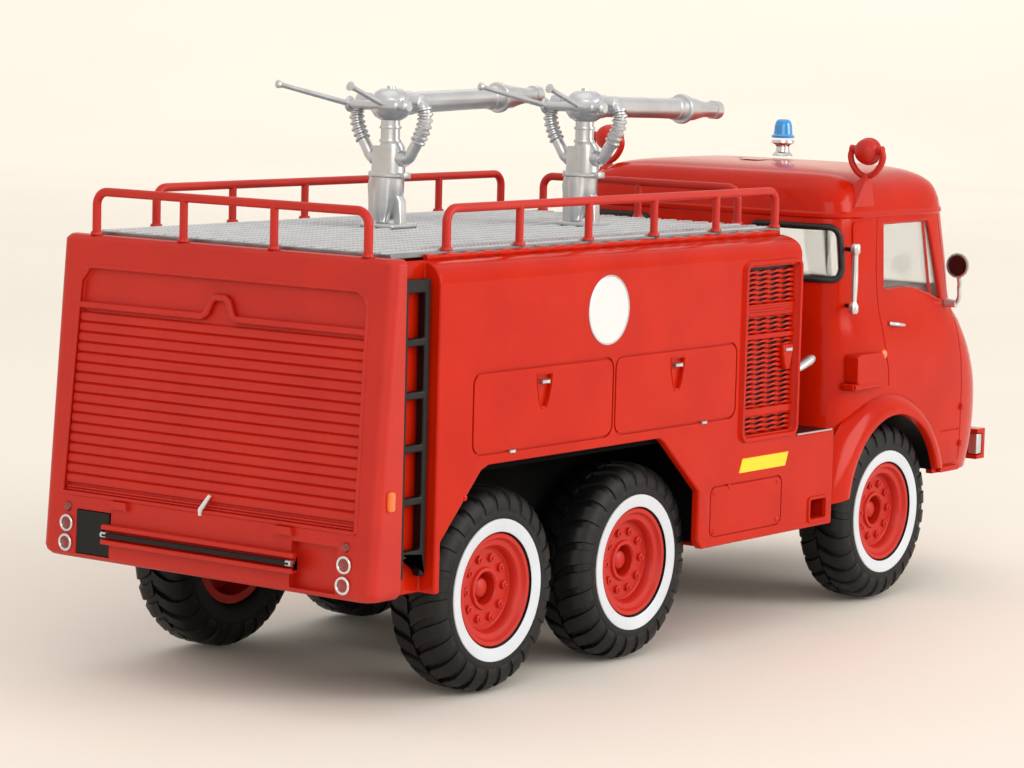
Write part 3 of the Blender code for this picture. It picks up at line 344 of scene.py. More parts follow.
def cad_copy(name, node, edge, segments=3):
    """A welded copy of a CAD node with its flat faces joined and its edges rounded."""
    bm = bmesh.new()
    bm.from_mesh(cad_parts[node].data)
    bmesh.ops.remove_doubles(bm, verts=bm.verts, dist=0.001 * MM)
    bmesh.ops.dissolve_limit(bm, angle_limit=radians(1), verts=bm.verts, edges=bm.edges)
    mesh = bpy.data.meshes.new(name)
    bm.to_mesh(mesh)
    bm.free()
    piece = link(name, mesh)
    bevel = piece.modifiers.new("edge", "BEVEL")
    bevel.width = edge * MM
    bevel.segments = segments
    bevel.limit_method = "ANGLE"
    bevel.angle_limit = radians(30)
    return baked(piece)


# Gloss enamel on zinc: a warm red with a soft gloss under a thin clear coat, and a very faint orange peel.
ENAMEL = surface(
    "red_enamel", "#b81b04", "#c02006", (0.15, 0.21), 0.7, 0.003, Specular_IOR_Level=0.12,
    Coat_Weight=0.1,
)
ENAMEL.node_tree.nodes["Principled BSDF"].inputs["Coat Roughness"].default_value = 0.12
# Printed white and yellow: thin pad-printed ink, flat and slightly soft in its gloss.
WHITE_PRINT = surface("white_pad_print", "#d8dbdd", "#e0e2e3", (0.35, 0.5), 0.4, 0.004)
YELLOW_PRINT = surface("yellow_pad_print", "#f2c800", "#f8d21a", (0.35, 0.5), 0.4, 0.004)
# Silver lacquer on plastic: fine, even aluminium flake that gives a broad dull shine.
SILVER = surface(
    "silver_lacquer", "#cccfd2", "#d6d9dc", (0.27, 0.31), 0.6, 0.0004, patch=3.0, Metallic=0.9
)
# Black ABS as it leaves the mould: smooth, with a low sheen.
BLACK = surface("black_abs", "#060607", "#0b0b0c", (0.32, 0.45), 0.4, 0.004, Specular_IOR_Level=0.3)



def box_of(node):
    """The low and high corners of a CAD node, in millimetres."""
    return [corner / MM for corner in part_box(node)]


body_top = box_of("body_shell")[1].z
FACE_Y = box_of("body_shell")[1].y
NOSE_X = box_of("deck_plate")[1].x + 0.3
DOORS = ((-63.3, -32.1), (-31.5, -1.4))
DOOR_Z = (32.6, 43.3)
GRILLE = ((0.9, 29.6), (14.2, 53.9))
COVER = ((-7.1, 15.7), (11.8, 22.9))
SOCKET = ((19.5, 15.2), (24.3, 18.6))
SHIELDS = ((-47.9, 40.6), (-16.5, 40.6))
LATCH = (12.2, 40.9)
ROUNDEL_X, ROUNDEL_Z, ROUNDEL_R = -33.6, 49.85, 4.55
# How deep the door seams, the hand recesses, the grille and the tow socket are cut.
SEAM_CUT, RECESS_CUT, GRILLE_CUT, SOCKET_CUT = 0.32, 0.5, 1.0, 2.6


def shield(x, z, scale=1.0):
    """The outline of a hand recess: flat on top, with sides that run down to a blunt point."""
    half = [(1.5, 1.5), (1.45, 0.2), (1.0, -1.6), (0.45, -2.7)]
    ring = [*[(-a, b) for a, b in half], *[(a, b) for a, b in reversed(half)]]
    return [(x + a * scale, z + b * scale) for a, b in ring]


superstructure = cad_copy("superstructure", "body_shell", 0.45)
for side in (-1, 1):
    near, deep = side * (FACE_Y + 1), side * (FACE_Y - SEAM_CUT)
    lines = bmesh.new()
    for low_x, high_x in DOORS:
        moulding(lines, rounded((low_x, DOOR_Z[0]), (high_x, DOOR_Z[1]), 1.6), 0.34, "y", deep, near)
    moulding(lines, rounded(*COVER, 1.2), 0.26, "y", deep, near)
    carve(superstructure, lines)
    holes = bmesh.new()
    for x, z in SHIELDS:
        prism(holes, shield(x, z), "y", side * (FACE_Y - RECESS_CUT), near)
    prism(holes, rounded(*GRILLE, 0.5), "y", side * (FACE_Y - GRILLE_CUT), near)
    prism(holes, rounded(*SOCKET, 0.4), "y", side * (FACE_Y - SOCKET_CUT), near)
    carve(superstructure, holes)
corner = bmesh.new()
reach = 2.4
rounding = arc((NOSE_X - reach, body_top - reach), reach, 90, 0, 6)
outside = [(NOSE_X + 3, body_top - reach), (NOSE_X + 3, body_top + 3), (NOSE_X - reach, body_top + 3)]
prism(corner, [*rounding, *outside], "y", -FACE_Y - 2, FACE_Y + 2)
carve(superstructure, corner)
settle(superstructure, ENAMEL, "truck", ("body_shell",), 32)

trim = bmesh.new()
prints = bmesh.new()
plates = bmesh.new()
dashes = bmesh.new()
for side in (-1, 1):
    face, proud = side * (FACE_Y - 0.3), side * (FACE_Y + 0.5)
    frame_ring = rounded(
        (GRILLE[0][0] - 0.6, GRILLE[0][1] - 0.6), (GRILLE[1][0] + 0.6, GRILLE[1][1] + 0.6), 1.1
    )
    moulding(trim, frame_ring, 1.1, "y", face, proud, 0.3)
    moulding(trim, rounded(*SOCKET, 0.5), 0.7, "y", face, side * (FACE_Y + 0.25), 0.15)
    for z_low, z_high in ((46.7, 48.5), (43.4, 44.15), (32.3, 33.4)):
        floor = (GRILLE[0][0] - 0.2, side * (FACE_Y - GRILLE_CUT), z_low)
        block(trim, floor, (GRILLE[1][0] + 0.2, side * (FACE_Y - 0.25), z_high), 0.18)
    for z in (47.2, 47.6, 48.0):
        pipe(
            trim,
            [(GRILLE[0][0], side * (FACE_Y - 0.2), z), (GRILLE[1][0], side * (FACE_Y - 0.2), z)],
            0.13,
            8,
        )
    prism(trim, shield(*LATCH, 0.9), "y", side * (FACE_Y - 0.9), side * (FACE_Y + 0.15), 0.25)
    for x, z in ((-6.2, 22.0), (-2.3, 22.6), (10.6, 22.2), (10.6, 16.4), (-6.0, 16.4), (-64.6, 27.3)):
        rivet = [(0, 0.5), (0.25, 0.46), (0.42, 0.3), (0.42, 0), (0, 0)]
        lathe(trim, facing(rivet, side), (x, face, z), "y", 16)
    for x, z in SHIELDS:
        moulding(trim, shield(x, z, 1.12), 0.24, "y", face, side * (FACE_Y + 0.1), 0.06)
    for x, z in (*SHIELDS, LATCH):
        block(
            dashes,
            (x - 0.85, side * (FACE_Y - 0.5), z + 0.35),
            (x + 0.85, side * (FACE_Y + 0.22), z + 0.8),
            0.1,
        )
    for x in (-54.8, -9.5):
        block(
            dashes, (x - 0.6, side * (FACE_Y - 0.3), 32.3), (x + 0.6, side * (FACE_Y + 0.12), 32.7), 0.08
        )
    disc = [(0, 0.10), (ROUNDEL_R - 0.1, 0.10), (ROUNDEL_R, 0.05), (ROUNDEL_R, -0.2), (0, -0.2)]
    lathe(prints, facing(disc, side), (ROUNDEL_X, side * FACE_Y, ROUNDEL_Z), "y", 64)
    badge_rim = [
        (ROUNDEL_R, 0.16), (ROUNDEL_R + 0.2, 0.12), (ROUNDEL_R + 0.25, -0.2), (ROUNDEL_R - 0.05, -0.2)
    ]
    lathe(dashes, facing(badge_rim, side), (ROUNDEL_X, side * FACE_Y, ROUNDEL_Z), "y", 64, closed=True)
    ring = [(0.1, 24.3), (12.4, 24.3), (13.2, 26.3), (0.9, 26.3)]
    prism(plates, ring, "y", side * (FACE_Y - 0.2), side * (FACE_Y + 0.12))
put("cast_trim", trim, ENAMEL)
put("blank_roundels", prints, WHITE_PRINT)
put("blank_yellow_plates", plates, YELLOW_PRINT)
put("locker_pulls", dashes, SILVER)


# ------------------------------------------------------------------ deck
# The walking deck is a separate silver-lacquered moulding. Its tread pattern is short raised bars that
# lean one way in one row and the other way in the next, and thin seams mark its plates.


def open_tree(name, sizes):
    """A Geometry Nodes tree with a geometry input and the named sizes as inputs."""
    tree = bpy.data.node_groups.new(name, "GeometryNodeTree")
    tree.interface.new_socket("Geometry", in_out="INPUT", socket_type="NodeSocketGeometry")
    keys = []
    for label, kind in sizes.items():
        made = tree.interface.new_socket(label, in_out="INPUT", socket_type=f"NodeSocket{kind}")
        keys.append(made.identifier)
    tree.interface.new_socket("Geometry", in_out="OUTPUT", socket_type="NodeSocketGeometry")
    return tree, keys, add_node(tree, "NodeGroupInput").outputs


def close_tree(item, tree, keys, values, copies, material):
    """Puts a copy on every point, makes them real in their material, and applies the tree."""
    placed = add_node(tree, "GeometryNodeInstanceOnPoints", copies).outputs[0]
    solid = add_node(tree, "GeometryNodeRealizeInstances", {0: placed}).outputs[0]
    painted = add_node(tree, "GeometryNodeSetMaterial", {"Geometry": solid, "Material": material})
    add_node(tree, "NodeGroupOutput", {"Geometry": painted.outputs[0]})
    repeat = item.modifiers.new("repeat", "NODES")
    repeat.node_group = tree
    for key, value in zip(keys, values):
        repeat[key] = value
    return baked(item)


def repeat_grid(item, name, counts, pitch, lean, material):
    """Repeats a small shape over a flat grid by Geometry Nodes, turned to and fro from row to row."""
    sizes = {
        "Along": "Int", "Across": "Int", "Pitch Along": "Float", "Pitch Across": "Float", "Lean": "Float"
    }
    tree, keys, given = open_tree(name, sizes)
    step = add_node(tree, "ShaderNodeCombineXYZ", {"Y": given["Pitch Across"]}).outputs[0]
    across = {"Count": given["Across"], "Offset": step}
    rows = add_node(tree, "GeometryNodeMeshLine", across, mode="OFFSET").outputs[0]
    stride = add_node(tree, "ShaderNodeCombineXYZ", {"X": given["Pitch Along"]}).outputs[0]
    along = {"Count": given["Along"], "Offset": stride}
    row = add_node(tree, "GeometryNodeMeshLine", along, mode="OFFSET").outputs[0]
    index = add_node(tree, "GeometryNodeInputIndex").outputs[0]
    odd = add_node(tree, "ShaderNodeMath", {0: index, 1: 2.0}, operation="MODULO").outputs[0]
    sign = add_node(
        tree, "ShaderNodeMath", {0: odd, 1: 2.0, 2: -1.0}, operation="MULTIPLY_ADD"
    ).outputs[0]
    turn = add_node(tree, "ShaderNodeMath", {0: sign, 1: given["Lean"]}, operation="MULTIPLY").outputs[0]
    rotation = add_node(tree, "ShaderNodeCombineXYZ", {"Z": turn}).outputs[0]
    stored = add_node(tree, "GeometryNodeStoreNamedAttribute", None, data_type="FLOAT_VECTOR")
    stored.inputs["Name"].default_value = "lean"
    tree.links.new(rows, stored.inputs["Geometry"])
    tree.links.new(rotation, stored.inputs["Value"])
    lines = {"Points": stored.outputs[0], "Instance": row}
    lines = add_node(tree, "GeometryNodeInstanceOnPoints", lines).outputs[0]
    points = add_node(tree, "GeometryNodeRealizeInstances", {0: lines}).outputs[0]
    kept = add_node(tree, "GeometryNodeInputNamedAttribute", {"Name": "lean"}, data_type="FLOAT_VECTOR")
    copies = {"Points": points, "Instance": given["Geometry"], "Rotation": kept.outputs["Attribute"]}
    return close_tree(item, tree, keys, (*counts, *pitch, lean), copies, material)


deck_low, deck_high = box_of("deck_plate")
deck = bmesh.new()
block(deck, deck_low, (NOSE_X - 1.4, deck_high.y, deck_high.z), 0.12)
deck = raw("deck_plate_top", deck)
seams = bmesh.new()
for x in (-46.5, -18.2, 2.6):
    block(
        seams,
        (x - 0.12, -deck_high.y - 1, deck_high.z - 0.2),
        (x + 0.12, deck_high.y + 1, deck_high.z + 1),
    )
carve(deck, seams)
seam = bmesh.new()
moulding(seam, rounded((-44.0, 0.6), (-29.5, 13.4), 0.6), 0.24, "z", deck_high.z - 0.2, deck_high.z + 1)
moulding(seam, rounded((-15.6, -12.6), (-1.6, 0.4), 0.6), 0.24, "z", deck_high.z - 0.2, deck_high.z + 1)
carve(deck, seam)
# The deck plate under the tread bars is the same silver lacquer, painted a darker grey: painted shade in
# the hollows between the bars.
HOLLOW_SHADE_SILVER = surface(
    "silver_with_painted_hollow_shade", "#85878a", "#929497", (0.35, 0.42), 0.6, 0.0006, patch=3.0, Metallic=0.8
)
settle(deck, HOLLOW_SHADE_SILVER, "truck", ("deck_plate",))

TREAD_PITCH = (0.86, 1.42)
TREAD_SPAN = (90.5, 50.0)
TREAD_LEAN = radians(38)
tread_counts = [int(span / gap) for span, gap in zip(TREAD_SPAN, TREAD_PITCH)]
bar = bmesh.new()
foot = [(-0.72, 0.0), (-0.5, 0.17), (0.5, 0.17), (0.72, 0.0), (0.5, -0.17), (-0.5, -0.17)]
base = [bar.verts.new(Vector((x, y, -0.05)) * MM) for x, y in foot]
ridge = [bar.verts.new(Vector((x, 0, 0.2)) * MM) for x in (-0.5, 0.5)]
bar.faces.new(base)
bar.faces.new((base[0], base[1], ridge[0]))
bar.faces.new((base[0], base[5], ridge[0]))
bar.faces.new((base[3], base[2], ridge[1]))
bar.faces.new((base[3], base[4], ridge[1]))
bar.faces.new((base[1], base[2], ridge[1], ridge[0]))
bar.faces.new((base[5], base[4], ridge[1], ridge[0]))
start = Vector((deck_low.x + 1.0, -(tread_counts[1] - 1) * TREAD_PITCH[1] / 2, deck_high.z)) * MM
tread = raw("deck_tread", bar)
tread = repeat_grid(
    tread, "tread_rows", tread_counts, [gap * MM for gap in TREAD_PITCH], TREAD_LEAN, SILVER
)
tread.data.transform(Matrix.Translation(start))
settle(tread, SILVER, "truck")

# The casting's upper edge shows as a red bead with a soft scallop along each side of the deck.
beads = bmesh.new()
for side in (-1, 1):
    spots = [(-70.4 + 0.5 * k, side * (deck_high.y + 0.35), body_top + 0.25) for k in range(168)]
    pipe(beads, spots, [0.42 + 0.1 * sin(k * pi / 4) for k in range(168)], 8)
put("deck_beads", beads, ENAMEL)


# ------------------------------------------------------------------ rear panel
# The whole rear wall is one moulding in satin red plastic: a roller shutter under a shallow panel, a bead
# with a raised catch between them, and a skirt with lamp wells. It clips into the casting.

# Red plastic with a satin skin: the enamel's colour, with a softer and more even sheen.
SATIN = surface(
    "satin_red_plastic", "#b81b0a", "#c01f0c", (0.38, 0.48), 0.35, 0.008, Specular_IOR_Level=0.4
)
# Chrome from a vacuum: mirror-bright, with the moulding's own slight ripple.
CHROME = surface("vacuum_chrome", "#d9dadb", "#e6e7e8", (0.06, 0.14), 1.2, 0.006, Metallic=1.0)
# Clear dyed styrene for lenses.
RED_LENS = surface("red_lens", "#7a0503", "#930805", (0.08, 0.16), 1.0, 0.004, Coat_Weight=1.0)
AMBER_LENS = surface("amber_lens", "#e8590a", "#f06a12", (0.10, 0.2), 1.0, 0.004, Coat_Weight=1.0)

casting_low, casting_high = box_of("rear_casting")
LEAN = 3.6
REAR_TOP_X = -79.6


def rear_x(z):
    """The sloping outer face of the rear panel, at a height."""
    return REAR_TOP_X - LEAN * (casting_high.z - z) / (casting_high.z - casting_low.z)


def on_rear(y, z, out=0.0):
    return (rear_x(z) - out, y, z)


rear_panel = cad_copy("rear_panel", "rear_casting", 0.5)
wells = bmesh.new()
for y_low, y_high in ((16.2, 22.4), (-22.8, -15.2)):
    block(wells, (rear_x(16.2) - 3, y_low, 16.2), (rear_x(22.2) + 1.0, y_high, 22.2))
carve(rear_panel, wells)
settle(rear_panel, SATIN, "truck", ("rear_casting",), 32)

SLATS = 17
SLAT_LOW, SLAT_HIGH = 25.4, 48.4
RECESS = 0.8


def slat_half(z):
    return 25.1 - 0.6 * (z - 24.3) / 24.0


shutter = bmesh.new()
pitch = (SLAT_HIGH - SLAT_LOW) / SLATS
profile = []
for slat in range(SLATS):
    for step in range(7):
        share = step / 7
        profile.append((SLAT_LOW + (slat + share) * pitch, 0.14 + 0.4 * sin(pi * share) ** 0.4))
profile.append((SLAT_HIGH, 0.14))
ends = [
    [shutter.verts.new(Vector(on_rear(s * slat_half(z), z, out - RECESS)) * MM) for z, out in profile]
    for s in (-1, 1)
]
backs = [
    [
        shutter.verts.new(Vector(on_rear(s * slat_half(z), z, -RECESS - 0.2)) * MM)
        for z in (SLAT_LOW, SLAT_HIGH)
    ]
    for s in (-1, 1)
]
for one, two, three, four in zip(ends[0], ends[0][1:], ends[1][1:], ends[1]):
    shutter.faces.new((one, two, three, four))
shutter.faces.new((*ends[0], backs[0][1], backs[0][0]))
shutter.faces.new((*ends[1], backs[1][1], backs[1][0]))
shutter.faces.new((backs[0][0], backs[0][1], backs[1][1], backs[1][0]))
shutter.faces.new((ends[0][0], backs[0][0], backs[1][0], ends[1][0]))
shutter.faces.new((ends[0][-1], backs[0][1], backs[1][1], ends[1][-1]))
for z in (24.55, 24.95):
    half = slat_half(z)
    pipe(shutter, [on_rear(-half, z, -0.62), on_rear(half, z, -0.62)], 0.2, 8)
put("roller_shutter", shutter, SATIN, (), "truck", 30)

beading = bmesh.new()
bump = [(-24.7, 49.3), (-2.9, 49.3), (-2.2, 49.8), (-1.5, 51.4), (-0.9, 51.9)]
route = [*bump, *[(-y, z) for y, z in reversed(bump)]]
pipe(beading, [on_rear(y, z, -0.35) for y, z in route], 0.5, 10)
outline = [
    (-24.9, 48.9), (-24.75, 52.6), (-24.2, 53.9), (-23.0, 54.5), (23.0, 54.5), (24.2, 53.9),
    (24.75, 52.6), (24.9, 48.9),
]
pipe(beading, [on_rear(y, z, -0.18) for y, z in outline], 0.32, 10)
for side in (-1, 1):
    pipe(beading, [on_rear(side * 25.45, 24.2, -0.12), on_rear(side * 24.75, 52.6, -0.12)], 0.3, 10)
pipe(beading, [on_rear(-25.4, 24.15, -0.1), on_rear(25.4, 24.15, -0.1)], 0.3, 10)
for y in (14.6, -14.0):
    ring = [(y - 1.7, 22.9), (y + 1.7, 22.9), (y + 1.4, 23.9), (y - 1.4, 23.9)]
    inner = [beading.verts.new(Vector(on_rear(a, b, -0.4)) * MM) for a, b in ring]
    outer = [beading.verts.new(Vector(on_rear(a * 0.96 + y * 0.04, b, 0.65)) * MM) for a, b in ring]
    skin(beading, [inner, outer], True)
put("shutter_beading", beading, SATIN)

strap = bmesh.new()
pipe(
    strap,
    [on_rear(0.5, 23.7, 0.1), on_rear(0.35, 24.4, 0.3), on_rear(-1.0, 26.4, 0.15)],
    [0.25, 0.33, 0.25],
    10,
)
put("shutter_strap", strap, WHITE_PRINT)
black_well = bmesh.new()
block(black_well, (rear_x(16.3) + 0.2, 16.3, 16.3), (rear_x(22.0) + 1.0, 22.3, 22.1), 0.1)
put("skirt_opening", black_well, BLACK)

lamp_rings = bmesh.new()
lamp_lenses = bmesh.new()
dark_lenses = bmesh.new()
for side in (-1, 1):
    for z in (20.1, 17.5):
        rim = arc((1.0, 0.0), 0.2, 0, 330, 9)
        centre = on_rear(side * 24.1, z, 0.15)
        lathe(lamp_rings, [(a, b) for a, b in rim], centre, "x", 32, closed=True)
        lathe(
            lamp_lenses, [(0, -0.15), (0.5, -0.12), (0.95, 0.1), (0.95, 0.4), (0, 0.4)], centre, "x", 24
        )
    centre = on_rear(side * 24.1, 22.3, 0.1)
    lathe(dark_lenses, [(0, -0.25), (0.5, -0.15), (0.7, 0.1), (0.7, 0.4), (0, 0.4)], centre, "x", 24)
put("rear_lamp_rings", lamp_rings, CHROME)
put("rear_lamp_lenses", lamp_lenses, RED_LENS)
put("rear_reflectors", dark_lenses, RED_LENS)

markers = bmesh.new()
for side in (-1, 1):
    y = side * (casting_high.y + 0.15)
    block(markers, (-80.4, y - 0.45, 27.0), (-79.2, y + 0.45, 29.6), 0.35)
put("side_marker_lamps", markers, AMBER_LENS)

rear_bar = cad_copy("rear_bar_moulding", "rear_bar", 0.2)
settle(rear_bar, SATIN, "truck", ("rear_bar",))
tube_low, tube_high = box_of("rear_tube")
tube_mid = (tube_low + tube_high) / 2
tube = bmesh.new()
pipe(
    tube,
    [(tube_mid.x, tube_low.y, tube_mid.z), (tube_mid.x, tube_high.y, tube_mid.z)],
    tube_high.z - tube_mid.z,
    16,
)
put("rear_bar_tube", tube, BLACK, ("rear_tube",))
caps = bmesh.new()
for side in (-1, 1):
    y = side * tube_high.y
    pipe(
        caps,
        [
            (tube_mid.x + 0.08, y - side * 0.6, tube_mid.z),
            (tube_mid.x + 0.08, y + side * 0.35, tube_mid.z),
        ],
        0.42,
        16,
    )
put("tube_end_caps", caps, SILVER)


# ------------------------------------------------------------------ ladders and guard rails
# The ladders are flat black mouldings clipped into the slots beside the rear panel. The guard rails are
# thin red hoops with posts, each pushed into the deck by small pegs.

for tag in ("left", "right"):
    ladder = cad_copy(f"ladder_{tag}_moulding", f"ladder_{tag}", 0.28)
    settle(ladder, BLACK, "truck", (f"ladder_{tag}",))


def hoop(bm, start, end, foot, rail_top, radius, bays):
    """A rail with rounded ends and posts, between two places seen from above."""
    a, b = Vector((*start, 0.0)), Vector((*end, 0.0))
    along = (b - a).normalized()
    bend = 1.8
    height = rail_top - radius
    spots = [a + Vector((0, 0, foot))]
    spots += [
        a + along * (bend + x) + Vector((0, 0, height - bend + z))
        for x, z in arc((0, 0), bend, 180, 90, 8)
    ]
    spots += [
        b - along * (bend - x) + Vector((0, 0, height - bend + z))
        for x, z in arc((0, 0), bend, 90, 0, 8)
    ]
    spots.append(b + Vector((0, 0, foot)))
    pipe(bm, spots, radius, 14)
    for bay in range(bays + 1):
        post = a.lerp(b, bay / bays)
        if 0 < bay < bays:
            pipe(bm, [post + Vector((0, 0, foot)), post + Vector((0, 0, height))], radius * 0.92, 12)
        collar = [(0, 0.45), (radius * 1.25, 0.42), (radius * 1.45, 0.0), (0, 0)]
        lathe(bm, collar, post + Vector((0, 0, foot)), "z", 16)


for tag, bays in (("left", 5), ("right", 5), ("front", 2), ("rear", 3)):
    low, high = box_of(f"rail_{tag}")
    middle = (low + high) / 2
    if tag in ("left", "right"):
        ends = ((low.x + 0.6, middle.y), (high.x - 0.6, middle.y))
    else:
        ends = ((middle.x, low.y + 0.6), (middle.x, high.y - 0.6))
    rail = bmesh.new()
    hoop(rail, *ends, low.z - 0.25, high.z, 0.6, bays)
    put(f"guard_rail_{tag}", rail, SATIN, (f"rail_{tag}",))


# ------------------------------------------------------------------ cab
# The cab is a second zinc casting in the same enamel, swollen at the waist and domed at the roof. Its
# drip ledge, door seams and pressed panels are cast in. The glazing is clear styrene in black gaskets.

CAB_REAR, CAB_FRONT, CAB_HALF = 31.0, 80.2, 26.3
WALL = 1.1
# Height, then how far the rear, the front and the sides are drawn in.
CAB_SIDES = (
    (18.0, 0.0, 1.8, 0.4),
    (22.0, 0.0, 0.8, 0.0),
    (28.0, 0.0, 0.0, 0.0),
    (33.0, 0.0, 0.6, 0.0),
    (38.0, 0.0, 2.8, 0.2),
    (42.0, 0.0, 5.8, 0.5),
    (44.8, 0.0, 8.4, 0.9),
    (52.0, 0.3, 10.0, 1.2),
    (60.2, 0.8, 11.9, 1.6),
)
CAB_ROOF = (
    (59.4, 0.8, 11.8, 1.6),
    (59.7, 0.55, 11.7, 1.35),
    (60.2, 0.55, 11.7, 1.35),
    (60.5, 0.9, 11.9, 1.6),
    (61.8, 1.2, 12.2, 1.8),
    (64.3, 2.6, 13.4, 3.0),
    (66.0, 5.2, 16.2, 6.0),
    (66.8, 9.5, 20.6, 11.0),
    (67.1, 15.0, 26.0, 17.0),
    (67.2, 24.0, 36.0, 25.5),
)


def cab_row(z):
    """The cab's draw-in at a height up to the drip ledge, along smooth curves through the table's rows."""
    place = max(0, min(len(CAB_SIDES) - 2, sum(row[0] <= z for row in CAB_SIDES) - 1))
    low, high = CAB_SIDES[place], CAB_SIDES[place + 1]
    before = CAB_SIDES[max(0, place - 1)]
    after = CAB_SIDES[min(len(CAB_SIDES) - 1, place + 2)]
    span = high[0] - low[0]
    t = (z - low[0]) / span
    row = [z]
    for k in (1, 2, 3):
        leave = span * (high[k] - before[k]) / (high[0] - before[0])
        arrive = span * (after[k] - low[k]) / (after[0] - low[0])
        ease = (2 * t**3 - 3 * t**2 + 1) * low[k] + (3 * t**2 - 2 * t**3) * high[k]
        row.append(ease + (t**3 - 2 * t**2 + t) * leave + (t**3 - t**2) * arrive)
    return row


def cab_plan(row, inset=0.0):
    """The rear end, the widest place, the front end and the half width of the cab at a row."""
    rear, front = CAB_REAR + row[1] + inset, CAB_FRONT - row[2] - inset
    return rear, rear + (front - rear) * 0.55, front, CAB_HALF - row[3] - inset


def on_ring(turn, row, inset=0.0):
    """The cab's surface in a direction from its middle: squarish behind and rounder in front."""
    rear, middle, front, half = cab_plan(row, inset)
    a, power = (front - middle, 6) if cos(turn) > 0 else (middle - rear, 9)
    reach = (abs(cos(turn) / a) ** power + abs(sin(turn) / half) ** power) ** (-1 / power)
    return Vector((middle + reach * cos(turn), reach * sin(turn), row[0]))


def on_side(x, z, inset=0.0):
    """The cab's right-hand surface at a place along it."""
    rear, middle, front, half = cab_plan(cab_row(z), inset)
    a, power = (front - middle, 6) if x > middle else (middle - rear, 9)
    return Vector((x, -half * max(0.0, 1 - abs((x - middle) / a) ** power) ** (1 / power), z))


def on_corner(turn, z, inset=0.0):
    return on_ring(radians(turn), cab_row(z), inset)


def on_front(y, z, inset=0.0):
    rear, middle, front, half = cab_plan(cab_row(z), inset)
    return Vector((middle + (front - middle) * (1 - abs(y / half) ** 6) ** (1 / 6), y, z))


def handed(spot, side):
    """A place on the truck's right, or its reflection on the left."""
    return Vector((spot[0], spot[1] if side < 0 else -spot[1], spot[2]))


def columns(start, end, low, high, radius, scale=1.0, count=28):
    """(place, low z, high z) across an opening with round corners; scale is mm for one unit of place."""
    made = []
    for k in range(count + 1):
        place = start + (end - start) * (1 - cos(pi * k / count)) / 2
        near = min(abs(place - start), abs(place - end)) * scale
        pinch = radius - sqrt(radius**2 - (radius - near) ** 2) if near < radius else 0.0
        made.append((place, low(place) + pinch, high(place) - pinch))
    return made


def slab(bm, face, spots, side, outer, inner, rows=8):
    """A closed slab that follows the cab's surface over the given columns, between two insets."""
    layers = []
    for inset in (outer, inner):
        layer = []
        for place, low, high in spots:
            heights = [low + (high - low) * k / rows for k in range(rows + 1)]
            layer.append([bm.verts.new(handed(face(place, z, inset), side) * MM) for z in heights])
        layers.append(layer)
    for layer in layers:
        for one, two in zip(layer, layer[1:]):
            for k in range(rows):
                bm.faces.new((one[k], two[k], two[k + 1], one[k + 1]))
    top, under = layers
    for k in range(rows):
        for end in (0, -1):
            bm.faces.new((top[end][k], top[end][k + 1], under[end][k + 1], under[end][k]))
    for i in range(len(spots) - 1):
        for end in (0, rows):
            bm.faces.new((top[i][end], top[i + 1][end], under[i + 1][end], under[i][end]))


def rim_of(face, spots, side, inset=0.0):
    """The closed route round an opening."""
    low = [handed(face(place, low_z, inset), side) for place, low_z, high_z in spots]
    high = [handed(face(place, high_z, inset), side) for place, low_z, high_z in reversed(spots)]
    return [*low, *high]


def door_low(x, margin=0.0):
    """The door window's sill, which falls away towards the front."""
    share = max(0.0, (x - DOOR_REAR) / (DOOR_FRONT - DOOR_REAR) - 0.4) / 0.6
    return 48.0 + margin - 2.7 * share**1.5


def door_high(x, margin=0.0):
    return min(58.6, 58.6 - (x - 59.5) * 3.05) - margin


DOOR_REAR, DOOR_FRONT = 45.3, 63.5
SCREEN_HALF = 21.5


def openings(margin):
    """Every window of the cab, drawn in by a margin: its surface, its columns and its side."""
    low, high = 50.2 + margin, 58.2 - margin
    corner_turns = (-155.6 - margin * -1.2, -127.0 - margin * 1.6)
    rear_pair = columns(*corner_turns, lambda t: low, lambda t: high, 2.0, 0.62)
    door = columns(
        DOOR_REAR + margin,
        DOOR_FRONT - margin * 0.8,
        lambda x: door_low(x, margin),
        lambda x: door_high(x, margin),
        0.8,
    )
    screen = columns(
        margin - SCREEN_HALF, SCREEN_HALF - margin, lambda y: 47 + margin, lambda y: 58.6 - margin, 2.6
    )
    return (
        ("corner_window_right", on_corner, rear_pair, -1),
        ("corner_window_left", on_corner, rear_pair, 1),
        ("door_window_right", on_side, door, -1),
        ("door_window_left", on_side, door, 1),
        ("windscreen", on_front, screen, -1),
    )


def cab_rings(inset, roof_drop):
    """The cab's rows from its sill to its crown."""
    rows = [cab_row(18.0 + (59.2 - 18.0) * k / 34) for k in range(35)]
    for k in range(len(CAB_ROOF) - 1):
        before, low = CAB_ROOF[max(0, k - 1)], CAB_ROOF[k]
        high, after = CAB_ROOF[k + 1], CAB_ROOF[min(len(CAB_ROOF) - 1, k + 2)]
        steps = 1 if k < 4 else 5
        for step in range(steps):
            t = step / steps
            weights = (
                (-(t**3) + 2 * t**2 - t) / 2,
                (3 * t**3 - 5 * t**2 + 2) / 2,
                (-3 * t**3 + 4 * t**2 + t) / 2,
                (t**3 - t**2) / 2,
            )
            rows.append(
                [sum(w * r[i] for w, r in zip(weights, (before, low, high, after))) for i in range(4)]
            )
    return [[row[0] - (roof_drop if row[0] > 61 else 0.0), *row[1:]] for row in rows]


